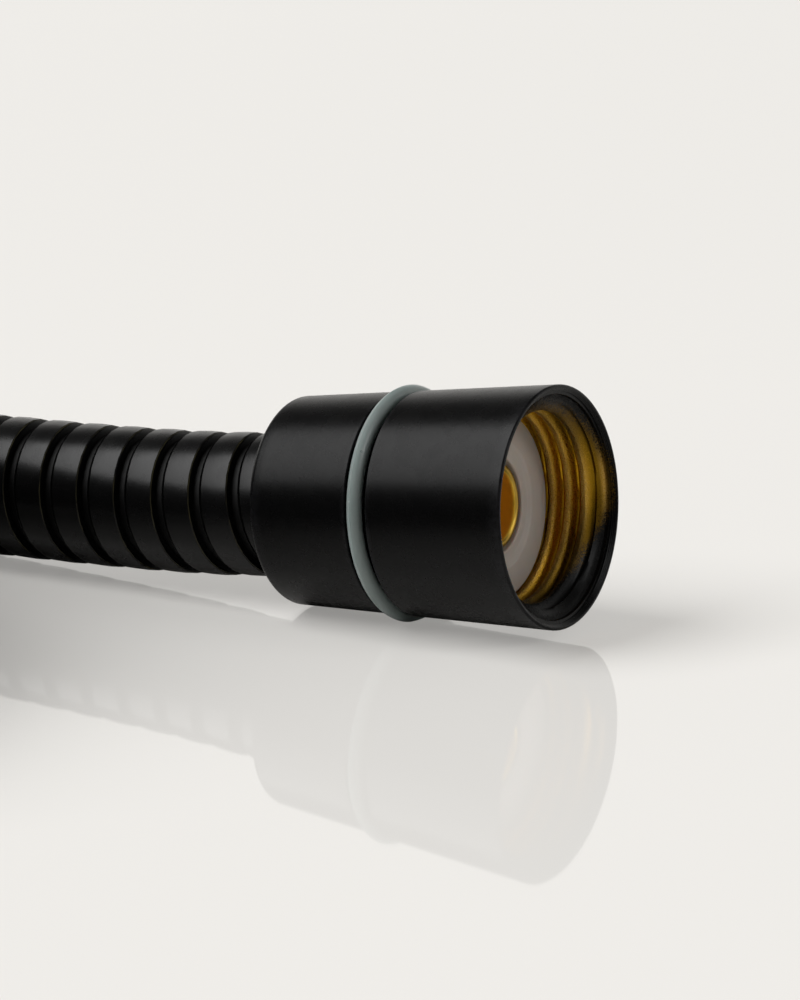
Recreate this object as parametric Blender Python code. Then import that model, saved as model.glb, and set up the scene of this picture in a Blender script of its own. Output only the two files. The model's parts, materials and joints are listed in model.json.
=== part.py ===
"""A shower hose: one conical swivel nut, a metal strip hose and its valve end, laid with most of its length coiled.

The frame is in metres with +Z up. +X runs along the conical nut's axis, seen from above, out of its mouth. The
origin is on the floor under the middle of the conical nut.
"""

import math

import bmesh
import bpy
import numpy as np
from mathutils import Matrix, Vector

MM = 0.001
GAP = 0.3 * MM

# Hose
HOSE_RADIUS = 7.3 * MM

# Half-inch pipe thread, cut by the finishing step; the bore here is its tapping size
THREAD_BORE = 9.32 * MM
MOUTH_BORE = 11.3 * MM
MOUTH_BORE_DEPTH = 0.8 * MM
MOUTH_CHAMFER = 0.7 * MM
MOUTH_EDGE = 0.25 * MM

# Conical nut of the handset end
CONE_LENGTH = 29.26 * MM
CONE_MOUTH_RADIUS = 12.0 * MM
CONE_BACK_RADIUS = 10.4 * MM
CONE_MOUTH_ROUND = 0.45 * MM
CONE_BACK_ROUND = 0.7 * MM
CONE_TILT = math.radians(4.93)

# Cushion ring in the conical nut's groove, on which the nut rests
CUSHION_FROM_MOUTH = 16.69 * MM
CUSHION_SINK = 0.3134 * MM
CUSHION_SECTION = 0.916 * MM

# Hexagonal nut of the valve end
HEX_ACROSS_FLATS = 24.0 * MM
HEX_LENGTH = 11.0 * MM
HEX_CHAMFER = 1.3 * MM
HEX_CORNER_CUT = 0.2 * MM
HEX_FACE_INSET = 0.4 * MM
COLLAR_LENGTH = 7.0 * MM
COLLAR_RADIUS = 10.6 * MM
COLLAR_ROUND = 0.8 * MM

# Hose end inside either nut, from its sealing washer back
WASHER_FROM_MOUTH = 6.6 * MM
WASHER_THICKNESS = 2.3 * MM
WASHER_STEP = 0.3 * MM
WASHER_STEP_RADIUS = 6.0 * MM
WASHER_ROUND = 0.25 * MM
LIP_WALL = 0.9 * MM
INSERT_LIP_RECESS = 0.5 * MM
FLANGE_THICKNESS = 1.5 * MM
STEM_WALL = 1.0 * MM
STEM_LENGTH = 9.9 * MM
BARB_HEIGHT = 0.4 * MM
BARB_PITCH = 2.4 * MM
BARB_COUNT = 3
LINER_WALL = 1.0 * MM
SLIP_RING_THICKNESS = 1.0 * MM
FERRULE_PROUD = 0.6 * MM
FERRULE_WALL = 1.3 * MM
FERRULE_ROUND = 0.5 * MM

# Coil: two turns on the floor and one in the valley on them
COIL_CENTRE = Vector((-117.0 * MM, -87.0 * MM, 0.0))
COIL_OUTER_TURN = 91.5 * MM
COIL_PITCH = 15.0 * MM
SHIFT_DEG = (360.0, 450.0)
CLIMB_DEG = (640.0, 720.0)
TAIL_DEG = (910.0, 990.0)
TAIL_INWARD = 7.0 * MM
TAIL_STRAIGHT = 26.0 * MM
VALLEY_CLEARANCE = 0.7 * MM

# Ties round the coil
TIE_THICKNESS = 0.8 * MM
TIE_SLACK = 0.6 * MM
TIE_WIDTH = 9.0 * MM
TIE_DEG = (100.0, 176.0, 350.0)

# Route of the hose's centre from the conical nut to the coil
RUN_POINTS_MM = (
    (-6.3, 0.0, 11.3),
    (-10.5, 0.0, 10.85),
    (-14.6, 0.03, 10.25),
    (-19.6, 0.15, 9.6),
    (-24.6, 0.35, 9.08),
    (-31.0, 0.62, 8.6),
    (-37.6, 0.92, 8.24),
    (-44.6, 1.27, 7.92),
    (-51.6, 1.65, 7.66),
    (-59.0, 2.05, 7.46),
    (-67.0, 2.5, 7.4),
    (-76.0, 3.0, 7.5),
    (-85.0, 3.5, 7.8),
    (-94.0, 3.95, 8.15),
    (-104.0, 4.32, 8.5),
    (-117.0, 4.5, 8.7),
)

# Facets
ROUND_SIDES = 40
SMALL_SIDES = 24
COIL_SIDES = 48
RUN_STEP = 1.5 * 2.0 * HOSE_RADIUS
TAIL_STEP = 2.0 * HOSE_RADIUS

# Stations along a fitting's axis, counted back from the mouth
LIP_AT = WASHER_FROM_MOUTH + INSERT_LIP_RECESS
FLANGE_AT = WASHER_FROM_MOUTH + WASHER_THICKNESS + GAP
FLANGE_BACK = FLANGE_AT + FLANGE_THICKNESS
LINER_AT = FLANGE_BACK + GAP
SLIP_RING_BACK = LINER_AT + SLIP_RING_THICKNESS
SHOULDER_AT = SLIP_RING_BACK + GAP
STEM_END = FLANGE_BACK + STEM_LENGTH
HOSE_END = STEM_END + GAP

# Radii that follow from what they fit in or on
FLANGE_RADIUS = THREAD_BORE - GAP
FERRULE_OUTER = HOSE_RADIUS + FERRULE_PROUD
FERRULE_INNER = FERRULE_OUTER - FERRULE_WALL
LINER_OUTER = FERRULE_INNER - GAP
LINER_INNER = LINER_OUTER - LINER_WALL
STEM_RADIUS = LINER_INNER - GAP - BARB_HEIGHT
INSERT_BORE = STEM_RADIUS - STEM_WALL
INSERT_LIP_RADIUS = INSERT_BORE + LIP_WALL
REAR_BORE = FERRULE_OUTER + GAP

# Radii and places of the cushion ring, which is sunk in the cone
CONE_NARROWING = (CONE_MOUTH_RADIUS - CONE_BACK_RADIUS) / CONE_LENGTH
CUSHION_RADIUS = CONE_MOUTH_RADIUS - CONE_NARROWING * CUSHION_FROM_MOUTH - CUSHION_SINK
GROOVE_BOTTOM = CUSHION_RADIUS - CUSHION_SECTION - GAP
GROOVE_HALF_WIDTH = CUSHION_SECTION + GAP

# Resting place of the conical nut: its cushion ring touches the floor, and the frame is centred under its box
CUSHION_HEIGHT = CUSHION_RADIUS * math.cos(CONE_TILT) + CUSHION_SECTION
CONE_BEHIND = CONE_LENGTH - CUSHION_FROM_MOUTH
CONE_FRONT_X = CUSHION_FROM_MOUTH * math.cos(CONE_TILT) + CONE_MOUTH_RADIUS * math.sin(CONE_TILT)
CONE_BACK_X = -CONE_BEHIND * math.cos(CONE_TILT) - CONE_BACK_RADIUS * math.sin(CONE_TILT)
CUSHION_X = -(CONE_FRONT_X + CONE_BACK_X) / 2.0

# Heights in the coil: the hexagonal nut lies on it on one of its corners, and can turn there
COIL_FLOOR_HEIGHT = HOSE_RADIUS + TIE_THICKNESS + TIE_SLACK
HEX_CORNER_RADIUS = HEX_ACROSS_FLATS / math.sqrt(3.0)
HEX_TURNED_RADIUS = HEX_CORNER_RADIUS - HEX_CORNER_CUT
VALVE_AXIS_HEIGHT = COIL_FLOOR_HEIGHT + HOSE_RADIUS + GAP + HEX_TURNED_RADIUS


def clear_scene():
    for obj in list(bpy.data.objects):
        bpy.data.objects.remove(obj, do_unlink=True)


def material(name, colour, roughness, metallic=0.0):
    made = bpy.data.materials.new(name)
    made.use_nodes = True
    shader = made.node_tree.nodes["Principled BSDF"]
    shader.inputs["Base Color"].default_value = (*colour, 1.0)
    shader.inputs["Roughness"].default_value = roughness
    shader.inputs["Metallic"].default_value = metallic
    return made


def finish_mesh(name, mesh_edit, surface, parent=None):
    """Turns a bmesh into a named object, shaded smooth away from its edges."""
    bmesh.ops.remove_doubles(mesh_edit, verts=mesh_edit.verts, dist=1e-7)
    bmesh.ops.recalc_face_normals(mesh_edit, faces=mesh_edit.faces)
    mesh = bpy.data.meshes.new(name)
    mesh_edit.to_mesh(mesh)
    mesh_edit.free()
    mesh.shade_smooth()
    mesh.set_sharp_from_angle(angle=math.radians(30.0))
    mesh.materials.append(surface)
    obj = bpy.data.objects.new(name, mesh)
    bpy.context.scene.collection.objects.link(obj)
    obj.parent = parent
    return obj


def rounded(corners, steps=3):
    """The closed outline through (station, radius, rounding) corners, with each rounding as an arc."""
    points = []
    for index, (x, r, rounding) in enumerate(corners):
        here = np.array((x, r))
        if rounding == 0.0:
            points.append(here)
            continue
        before = np.array(corners[index - 1][:2]) - here
        after = np.array(corners[(index + 1) % len(corners)][:2]) - here
        before /= np.linalg.norm(before)
        after /= np.linalg.norm(after)
        half = math.acos(float(np.clip(before @ after, -1.0, 1.0))) / 2.0
        bisector = (before + after) / np.linalg.norm(before + after)
        centre = here + bisector * rounding / math.sin(half)
        start = here + before * rounding / math.tan(half) - centre
        end = here + after * rounding / math.tan(half) - centre
        sweep = math.atan2(start[0] * end[1] - start[1] * end[0], float(start @ end))
        for step in range(steps + 1):
            turn = sweep * step / steps
            cos, sin = math.cos(turn), math.sin(turn)
            points.append(centre + np.array((start[0] * cos - start[1] * sin, start[0] * sin + start[1] * cos)))
    return points


def turned(name, outline, surface, parent=None, sides=ROUND_SIDES, axis="X"):
    """A closed outline of (station, radius) points spun round an axis; stations run back from the mouth along -X."""
    edit = bmesh.new()
    if axis == "X":
        verts = [edit.verts.new((-station, 0.0, radius)) for station, radius in outline]
        about = (1.0, 0.0, 0.0)
    else:
        verts = [edit.verts.new((radius, 0.0, station)) for station, radius in outline]
        about = (0.0, 0.0, 1.0)
    edges = [edit.edges.new((verts[i - 1], verts[i])) for i in range(len(verts))]
    bmesh.ops.spin(edit, geom=verts + edges, cent=(0, 0, 0), axis=about, angle=math.tau, steps=sides, use_merge=True)
    return finish_mesh(name, edit, surface, parent)


def nut_bore_corners(length):
    """The inside of either nut, from its back face to its mouth."""
    return [
        (length, REAR_BORE, 0.0),
        (SHOULDER_AT, REAR_BORE, 0.0),
        (SHOULDER_AT, THREAD_BORE, 0.0),
        (MOUTH_BORE_DEPTH + MOUTH_CHAMFER, THREAD_BORE, 0.0),
        (MOUTH_BORE_DEPTH, MOUTH_BORE, 0.0),
        (MOUTH_EDGE, MOUTH_BORE, 0.0),
        (0.0, MOUTH_BORE + MOUTH_EDGE, 0.0),
    ]


def cone_radius(station):
    return CONE_MOUTH_RADIUS - CONE_NARROWING * station


def conical_nut(axis_frame, surface):
    front = CUSHION_FROM_MOUTH - GROOVE_HALF_WIDTH
    back = CUSHION_FROM_MOUTH + GROOVE_HALF_WIDTH
    corners = [
        (0.0, CONE_MOUTH_RADIUS, CONE_MOUTH_ROUND),
        (front, cone_radius(front), 0.0),
        (front, GROOVE_BOTTOM, 0.0),
        (back, GROOVE_BOTTOM, 0.0),
        (back, cone_radius(back), 0.0),
        (CONE_LENGTH, CONE_BACK_RADIUS, CONE_BACK_ROUND),
        *nut_bore_corners(CONE_LENGTH),
    ]
    return turned("handset_conical_nut", rounded(corners), surface, axis_frame)


def cushion_ring(axis_frame, surface):
    angles = np.arange(10) * math.tau / 10
    outline = [
        (CUSHION_FROM_MOUTH + CUSHION_SECTION * math.sin(a), CUSHION_RADIUS + CUSHION_SECTION * math.cos(a))
        for a in angles
    ]
    return turned("handset_cushion_ring", outline, surface, axis_frame)


def hexagonal_nut(axis_frame, surface):
    """A turned blank with its hexagon cut by a prism of the same width across flats."""
    length = HEX_LENGTH + COLLAR_LENGTH
    face_radius = HEX_ACROSS_FLATS / 2.0 - HEX_FACE_INSET
    corners = [
        (0.0, face_radius, 0.0),
        (HEX_CHAMFER, HEX_TURNED_RADIUS, 0.0),
        (HEX_LENGTH - HEX_CHAMFER, HEX_TURNED_RADIUS, 0.0),
        (HEX_LENGTH, face_radius, 0.0),
        (HEX_LENGTH, COLLAR_RADIUS, 0.0),
        (length, COLLAR_RADIUS, COLLAR_ROUND),
        *nut_bore_corners(length),
    ]
    nut = turned("valve_hexagonal_nut", rounded(corners), surface, axis_frame, sides=48)
    edit = bmesh.new()
    radius = HEX_CORNER_RADIUS
    bmesh.ops.create_cone(edit, cap_ends=True, segments=6, radius1=radius, radius2=radius, depth=4.0 * length)
    along_axis = Matrix.Rotation(math.pi / 2.0, 3, "Y")
    corner_down = Matrix.Rotation(math.pi / 6.0, 3, "X")
    bmesh.ops.rotate(edit, verts=edit.verts, cent=(0, 0, 0), matrix=corner_down @ along_axis)
    prism = finish_mesh("valve_nut_flats_cutter", edit, surface, axis_frame)
    prism.hide_render = True
    prism.display_type = "WIRE"
    cut = nut.modifiers.new("flats", "BOOLEAN")
    cut.operation = "INTERSECT"
    cut.solver = "EXACT"
    cut.object = prism
    return nut


def sealing_washer(end, axis_frame, surface):
    inner = INSERT_LIP_RADIUS + GAP
    corners = [
        (WASHER_FROM_MOUTH, FLANGE_RADIUS, WASHER_ROUND),
        (WASHER_FROM_MOUTH + WASHER_THICKNESS, FLANGE_RADIUS, 0.0),
        (WASHER_FROM_MOUTH + WASHER_THICKNESS, inner, 0.0),
        (WASHER_FROM_MOUTH + WASHER_STEP, inner, 0.0),
        (WASHER_FROM_MOUTH + WASHER_STEP, WASHER_STEP_RADIUS, 0.0),
        (WASHER_FROM_MOUTH, WASHER_STEP_RADIUS, 0.0),
    ]
    return turned(f"{end}_sealing_washer", rounded(corners, 2), surface, axis_frame, sides=32)


def barbed_insert(end, axis_frame, surface):
    """The brass tube with its flange in front and rings of barbs on its stem, all one turned piece."""
    corners = [
        (LIP_AT, INSERT_LIP_RADIUS, 0.0),
        (FLANGE_AT, INSERT_LIP_RADIUS, 0.0),
        (FLANGE_AT, FLANGE_RADIUS, 0.0),
        (FLANGE_BACK, FLANGE_RADIUS, 0.0),
        (FLANGE_BACK, STEM_RADIUS, 0.0),
    ]
    first = STEM_END - BARB_COUNT * BARB_PITCH
    for barb in range(BARB_COUNT):
        at = first + barb * BARB_PITCH
        corners += [(at, STEM_RADIUS, 0.0), (at, STEM_RADIUS + BARB_HEIGHT, 0.0)]
    corners += [(STEM_END, STEM_RADIUS, 0.0), (STEM_END, INSERT_BORE, 0.0), (LIP_AT, INSERT_BORE, 0.0)]
    return turned(f"{end}_barbed_insert", rounded(corners), surface, axis_frame, sides=SMALL_SIDES)


def liner_end(end, axis_frame, surface):
    outline = [
        (LINER_AT, LINER_OUTER),
        (STEM_END, LINER_OUTER),
        (STEM_END, LINER_INNER),
        (LINER_AT, LINER_INNER),
    ]
    return turned(f"{end}_liner_end", outline, surface, axis_frame, sides=SMALL_SIDES)


def slip_ring(end, axis_frame, surface):
    outline = [
        (LINER_AT, FLANGE_RADIUS),
        (SLIP_RING_BACK, FLANGE_RADIUS),
        (SLIP_RING_BACK, FERRULE_INNER),
        (LINER_AT, FERRULE_INNER),
    ]
    return turned(f"{end}_slip_ring", outline, surface, axis_frame, sides=32)


def crimp_ferrule(end, axis_frame, surface):
    corners = [
        (SHOULDER_AT, FERRULE_OUTER, 0.0),
        (STEM_END, FERRULE_OUTER, FERRULE_ROUND),
        (STEM_END, FERRULE_INNER, 0.0),
        (SHOULDER_AT, FERRULE_INNER, 0.0),
    ]
    return turned(f"{end}_crimp_ferrule", rounded(corners), surface, axis_frame, sides=32)


def ease(value, span):
    """A half cosine that goes from 0 to 1 over the span."""
    share = min(max((value - span[0]) / (span[1] - span[0]), 0.0), 1.0)
    return 0.5 - 0.5 * math.cos(math.pi * share)


def turn_radius(degrees):
    """Radius of the hose's centre at an angle counted on through all its turns."""
    if degrees < SHIFT_DEG[1]:
        return COIL_OUTER_TURN - COIL_PITCH * ease(degrees, SHIFT_DEG)
    lean = math.radians(60.0) * ease(degrees, CLIMB_DEG)
    return COIL_OUTER_TURN - COIL_PITCH * math.cos(lean) - TAIL_INWARD * ease(degrees, TAIL_DEG)


def turn_height(degrees):
    """Height of the hose's centre: on the floor at first, then always a pitch away from the turn beneath it."""
    if degrees <= SHIFT_DEG[1]:
        return COIL_FLOOR_HEIGHT
    aside = turn_radius(degrees) - turn_radius(degrees - 360.0)
    over = math.sqrt(max(COIL_PITCH**2 - aside**2, 0.0))
    spare = VALVE_AXIS_HEIGHT - COIL_FLOOR_HEIGHT - COIL_PITCH
    return COIL_FLOOR_HEIGHT + over + spare * ease(degrees, TAIL_DEG)


def turn_point(degrees):
    angle = math.radians(degrees)
    radius = turn_radius(degrees)
    flat = Vector((radius * math.cos(angle), radius * math.sin(angle), turn_height(degrees)))
    return COIL_CENTRE + flat


def tail_points():
    """The third turn and the straight end after it, a step apart."""
    step = math.degrees(TAIL_STEP / (COIL_OUTER_TURN - COIL_PITCH / 2.0))
    count = round((TAIL_DEG[1] - CLIMB_DEG[1]) / step)
    degrees = np.linspace(CLIMB_DEG[1], TAIL_DEG[1], count + 1)
    points = [turn_point(float(d)) for d in degrees]
    last = math.radians(TAIL_DEG[1])
    ahead = Vector((-math.sin(last), math.cos(last), 0.0))
    points += [points[-1] + ahead * TAIL_STRAIGHT * share for share in (0.5, 1.0)]
    return points, ahead


def smooth_curve(points, spacing):
    """Points about a spacing apart on a smooth curve through the given ones: each stretch is a cubic whose ends
    follow the line between its neighbours."""
    fine = []
    for index in range(len(points) - 1):
        a, b = points[index], points[index + 1]
        before = points[index - 1] if index else a - (b - a)
        after = points[index + 2] if index + 2 < len(points) else b + (b - a)
        for step in range(12):
            t = step / 12.0
            fine.append(
                0.5
                * (
                    2.0 * a
                    + (b - before) * t
                    + (2.0 * before - 5.0 * a + 4.0 * b - after) * t**2
                    + (3.0 * (a - b) + after - before) * t**3
                )
            )
    fine.append(points[-1])
    lengths = np.concatenate([[0.0], np.cumsum([(q - p).length for p, q in zip(fine, fine[1:], strict=False)])])
    count = max(2, round(lengths[-1] / spacing) + 1)
    places = np.interp(np.linspace(0.0, lengths[-1], count), lengths, np.arange(len(fine)))
    return [fine[int(p)].lerp(fine[min(int(p) + 1, len(fine) - 1)], float(p % 1.0)) for p in places]


def tube(name, points, surface):
    """A round bar of the hose's outer size along the points, with closed ends."""
    curve = bpy.data.curves.new(name, "CURVE")
    curve.dimensions = "3D"
    curve.bevel_depth = HOSE_RADIUS
    curve.bevel_resolution = 4
    curve.use_fill_caps = True
    spline = curve.splines.new("POLY")
    spline.points.add(len(points) - 1)
    for place, point in zip(spline.points, points, strict=True):
        place.co = (*point, 1.0)
    curve.materials.append(surface)
    obj = bpy.data.objects.new(name, curve)
    bpy.context.scene.collection.objects.link(obj)
    return obj


def hose_run(surface):
    """The seen stretch, up to where its side would meet the coil."""
    points = smooth_curve([Vector(p) * MM for p in RUN_POINTS_MM], GAP)
    coil_side = COIL_CENTRE + Vector((0.0, HOSE_RADIUS, 0.0))
    clear = COIL_OUTER_TURN + HOSE_RADIUS + GAP
    kept = [p for p in points if math.hypot(*(p - coil_side).xy) > clear]
    return tube("hose_run", smooth_curve(kept, RUN_STEP), surface)


def hose_coil(surface):
    """The two floor turns as one ring, with the valley between them that the third turn lies in."""
    inner = COIL_OUTER_TURN - COIL_PITCH
    low = COIL_FLOOR_HEIGHT
    valley = np.array((COIL_OUTER_TURN - COIL_PITCH / 2.0, low + COIL_PITCH * math.sin(math.radians(60.0))))
    valley_radius = HOSE_RADIUS + VALLEY_CLEARANCE
    outline = []
    for degrees in (-90.0, -45.0, 0.0, 45.0, 75.0):
        angle = math.radians(degrees)
        outline.append((low + HOSE_RADIUS * math.sin(angle), COIL_OUTER_TURN + HOSE_RADIUS * math.cos(angle)))
    rim = math.degrees(math.asin((valley[1] - low - HOSE_RADIUS) / valley_radius))
    for degrees in np.linspace(-rim, rim - 180.0, 6):
        angle = math.radians(float(degrees))
        outline.append((valley[1] + valley_radius * math.sin(angle), valley[0] + valley_radius * math.cos(angle)))
    for degrees in (105.0, 135.0, 180.0, 225.0, 270.0):
        angle = math.radians(degrees)
        outline.append((low + HOSE_RADIUS * math.sin(angle), inner + HOSE_RADIUS * math.cos(angle)))
    ring = turned("hose_coil", outline, surface, sides=COIL_SIDES, axis="Z")
    ring.location = COIL_CENTRE
    return ring


def tie_outline(offset):
    """The outline round three hose sections that lie two below and one above, at an offset from them."""
    centres = [
        (COIL_OUTER_TURN, COIL_FLOOR_HEIGHT),
        (COIL_OUTER_TURN - COIL_PITCH / 2.0, COIL_FLOOR_HEIGHT + COIL_PITCH * math.sin(math.radians(60.0))),
        (COIL_OUTER_TURN - COIL_PITCH, COIL_FLOOR_HEIGHT),
    ]
    points = []
    for corner, (radius, height) in enumerate(centres):
        for step in range(5):
            angle = math.radians(-90.0 + 120.0 * corner + 30.0 * step)
            reach = HOSE_RADIUS + offset
            points.append((radius + reach * math.cos(angle), height + reach * math.sin(angle)))
    return points


def coil_tie(index, degrees, surface):
    """A strap closed round the coil's three turns."""
    inside = tie_outline(TIE_SLACK)
    outside = tie_outline(TIE_SLACK + TIE_THICKNESS)
    count = len(inside)
    edit = bmesh.new()
    loops = []
    for outline in (inside, outside):
        for side in (-TIE_WIDTH / 2.0, TIE_WIDTH / 2.0):
            loops.append([edit.verts.new((x, side, z)) for x, z in outline])
    for a, b in ((0, 1), (1, 3), (3, 2), (2, 0)):
        for i in range(count):
            j = (i + 1) % count
            edit.faces.new((loops[a][i], loops[a][j], loops[b][j], loops[b][i]))
    tie = finish_mesh(f"coil_tie_{index}", edit, surface)
    tie.location = COIL_CENTRE
    tie.rotation_euler = (0.0, 0.0, math.radians(degrees))
    return tie


def axis_empty(name, mouth, direction):
    """An empty on a nut's axis, at the middle of its mouth, with +X pointing out of it."""
    side = Vector((0.0, 0.0, 1.0)).cross(direction).normalized()
    frame = Matrix((direction, side, direction.cross(side))).transposed().to_4x4()
    frame.translation = mouth
    empty = bpy.data.objects.new(name, None)
    bpy.context.scene.collection.objects.link(empty)
    empty.matrix_world = frame
    return empty


def fitting_inside(end, axis_frame, finishes):
    sealing_washer(end, axis_frame, finishes["washer"])
    barbed_insert(end, axis_frame, finishes["brass"])
    liner_end(end, axis_frame, finishes["liner"])
    slip_ring(end, axis_frame, finishes["nylon"])
    crimp_ferrule(end, axis_frame, finishes["brass"])


def main():
    clear_scene()
    finishes = {
        "black": material("matt_black_lacquer", (0.012, 0.012, 0.013), 0.42),
        "strip": material("black_steel_strip", (0.014, 0.014, 0.015), 0.36),
        "silicone": material("grey_green_silicone", (0.24, 0.31, 0.31), 0.35),
        "washer": material("milky_washer", (0.74, 0.74, 0.70), 0.4),
        "brass": material("brass", (0.72, 0.5, 0.2), 0.28, 1.0),
        "liner": material("liner_rubber", (0.05, 0.05, 0.055), 0.6),
        "nylon": material("white_nylon", (0.78, 0.78, 0.76), 0.5),
        "tie": material("black_tie", (0.02, 0.02, 0.022), 0.7),
    }
    forward = Vector((math.cos(CONE_TILT), 0.0, math.sin(CONE_TILT)))
    mouth = Vector((CUSHION_X, 0.0, CUSHION_HEIGHT)) + forward * CUSHION_FROM_MOUTH
    handset = axis_empty("handset_axis", mouth, forward)
    conical_nut(handset, finishes["black"])
    cushion_ring(handset, finishes["silicone"])
    fitting_inside("handset", handset, finishes)

    tail, ahead = tail_points()
    valve = axis_empty("valve_axis", tail[-1] + ahead * HOSE_END, ahead)
    hexagonal_nut(valve, finishes["black"])
    fitting_inside("valve", valve, finishes)

    hose_run(finishes["strip"])
    hose_coil(finishes["strip"])
    tube("hose_tail", tail, finishes["strip"])
    for index, degrees in enumerate(TIE_DEG, start=1):
        coil_tie(index, degrees, finishes["tie"])


main()
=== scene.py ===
"""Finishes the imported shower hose: wound strip, threaded nuts, rings, ties and surfaces, with a plain stage.

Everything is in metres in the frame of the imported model: +Z up, and +X out of the conical nut's mouth.
"""

import json
import math

import bpy
import numpy as np
from bpy.props import FloatProperty, FloatVectorProperty, PointerProperty
from mathutils import Matrix, Vector


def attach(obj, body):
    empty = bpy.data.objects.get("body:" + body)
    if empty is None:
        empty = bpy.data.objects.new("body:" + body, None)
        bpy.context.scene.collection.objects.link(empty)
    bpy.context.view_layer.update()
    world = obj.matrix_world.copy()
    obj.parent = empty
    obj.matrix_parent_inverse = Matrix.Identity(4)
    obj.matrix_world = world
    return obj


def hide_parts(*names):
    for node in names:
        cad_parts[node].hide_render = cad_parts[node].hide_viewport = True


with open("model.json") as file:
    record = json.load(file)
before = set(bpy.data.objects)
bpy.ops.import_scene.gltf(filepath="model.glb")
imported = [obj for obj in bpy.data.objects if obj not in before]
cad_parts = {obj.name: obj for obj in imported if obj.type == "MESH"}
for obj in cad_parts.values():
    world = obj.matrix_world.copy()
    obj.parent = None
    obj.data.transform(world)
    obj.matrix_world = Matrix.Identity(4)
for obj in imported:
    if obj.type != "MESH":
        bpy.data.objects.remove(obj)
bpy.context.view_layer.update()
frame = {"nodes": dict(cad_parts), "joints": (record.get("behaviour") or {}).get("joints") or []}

bl_info = {
    "name": "Shower Hose Finishing",
    "version": (1, 0, 0),
    "blender": (4, 5, 0),
    "location": "3D Viewport > Sidebar > Shower Hose",
    "description": "Builds the finished surfaces of a coiled shower hose round its packed solids",
    "category": "Object",
}

MM = 0.001
TURN = 2.0 * math.pi

# Route of the hose's centre line, the same as in the part's source
RUN_POINTS_MM = (
    (-6.3, 0.0, 11.3),
    (-10.5, 0.0, 10.85),
    (-14.6, 0.03, 10.25),
    (-19.6, 0.15, 9.6),
    (-24.6, 0.35, 9.08),
    (-31.0, 0.62, 8.6),
    (-37.6, 0.92, 8.24),
    (-44.6, 1.27, 7.92),
    (-51.6, 1.65, 7.66),
    (-59.0, 2.05, 7.46),
    (-67.0, 2.5, 7.4),
    (-76.0, 3.0, 7.5),
    (-85.0, 3.5, 7.8),
    (-94.0, 3.95, 8.15),
    (-104.0, 4.32, 8.5),
    (-117.0, 4.5, 8.7),
)
HOSE_RADIUS = 7.3 * MM
COIL_CENTRE = np.array((-117.0, -87.0, 0.0)) * MM
COIL_OUTER_TURN = 91.5 * MM
COIL_PITCH = 15.0 * MM
COIL_FLOOR_HEIGHT = 8.7 * MM
VALVE_AXIS_HEIGHT = 29.9564 * MM
COIL_DEG = (90.0, 990.0)
SHIFT_DEG = (360.0, 450.0)
CLIMB_DEG = (640.0, 720.0)
TAIL_DEG = (910.0, 990.0)
TAIL_INWARD = 7.0 * MM
TAIL_STRAIGHT = 26.0 * MM
TAIL_SPARE = 6.0 * MM
ROUTE_STEP = 0.4 * MM

# Stations of both nuts, counted back from the mouth along the axis
WASHER_AT = 6.6 * MM
WASHER_THICKNESS = 2.3 * MM
LIP_AT = 6.9 * MM
FLANGE_AT = 9.2 * MM
FLANGE_BACK = 10.7 * MM
SHOULDER_AT = 12.3 * MM
STEM_END = 20.6 * MM

# Mouth, thread and rear bore of both nuts
MOUTH_BORE = 11.3 * MM
MOUTH_BORE_DEPTH = 0.8 * MM
MOUTH_CONE_STEP = 0.2 * MM
MOUTH_CONE_SLOPE = 1.3
# Painted highlight on the mouth's cone: its crest share, which brightens the brass, is highest at its front,
# the land, and falls over this length
LAND_HIGHLIGHT_FADE = 0.3 * MM
LAND_HIGHLIGHT_PEAK = 1.4
LAND_HIGHLIGHT_LEAST = 0.12
RECESS = np.array(((0.45 * MM, MOUTH_BORE - 0.16 * MM), (0.43 * MM, MOUTH_BORE + 0.12 * MM)))
RIM_AT = 0.42 * MM
RIM_SHORT = 0.03 * MM
RIM_STEP = 0.18 * MM
RIM_WIDTH = 0.26 * MM
RIM_RIDGES = 4
RIDGE_HEIGHTS = (0.03 * MM, -0.04 * MM)
THREAD_DEPTH = 0.98 * MM
THREAD_SLOPE = 1.921
THREAD_FLAT = 0.25 * MM
CREST_EASE = 0.08 * MM
ROOT_EASE = 0.2 * MM
THREAD_RELIEF = 0.2 * MM
THREAD_FADE = 0.6 * MM
REAR_BORE = 8.2 * MM
REAR_BEVEL = 0.25 * MM
SHOULDER_BEVEL = 0.1 * MM

# How far the lacquer's spray reaches into a mouth, by the angle from the top, and where it was rubbed off
SPRAY_DEG = (0, 30, 50, 65, 78, 90, 100, 108, 115, 125, 140, 160, 180, 250, 360)
SPRAY_REACH_MM = (1.75, 1.6, 1.3, 0.8, 0.35, 0.25, 0.4, 1.0, 1.5, 2.1, 2.6, 3.6, 4.4, 3.0, 1.75)
SPRAY_FADE = 1.5 * MM
SPRAY_BEHIND = 5.5 * MM
MIST_FROM = 0.2 * MM
MIST_FADE = 3.0 * MM
RUBBED_DEG = 86.0
RUBBED_SPREAD_DEG = 16.0
RUBBED_SHARE = 0.75

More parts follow.
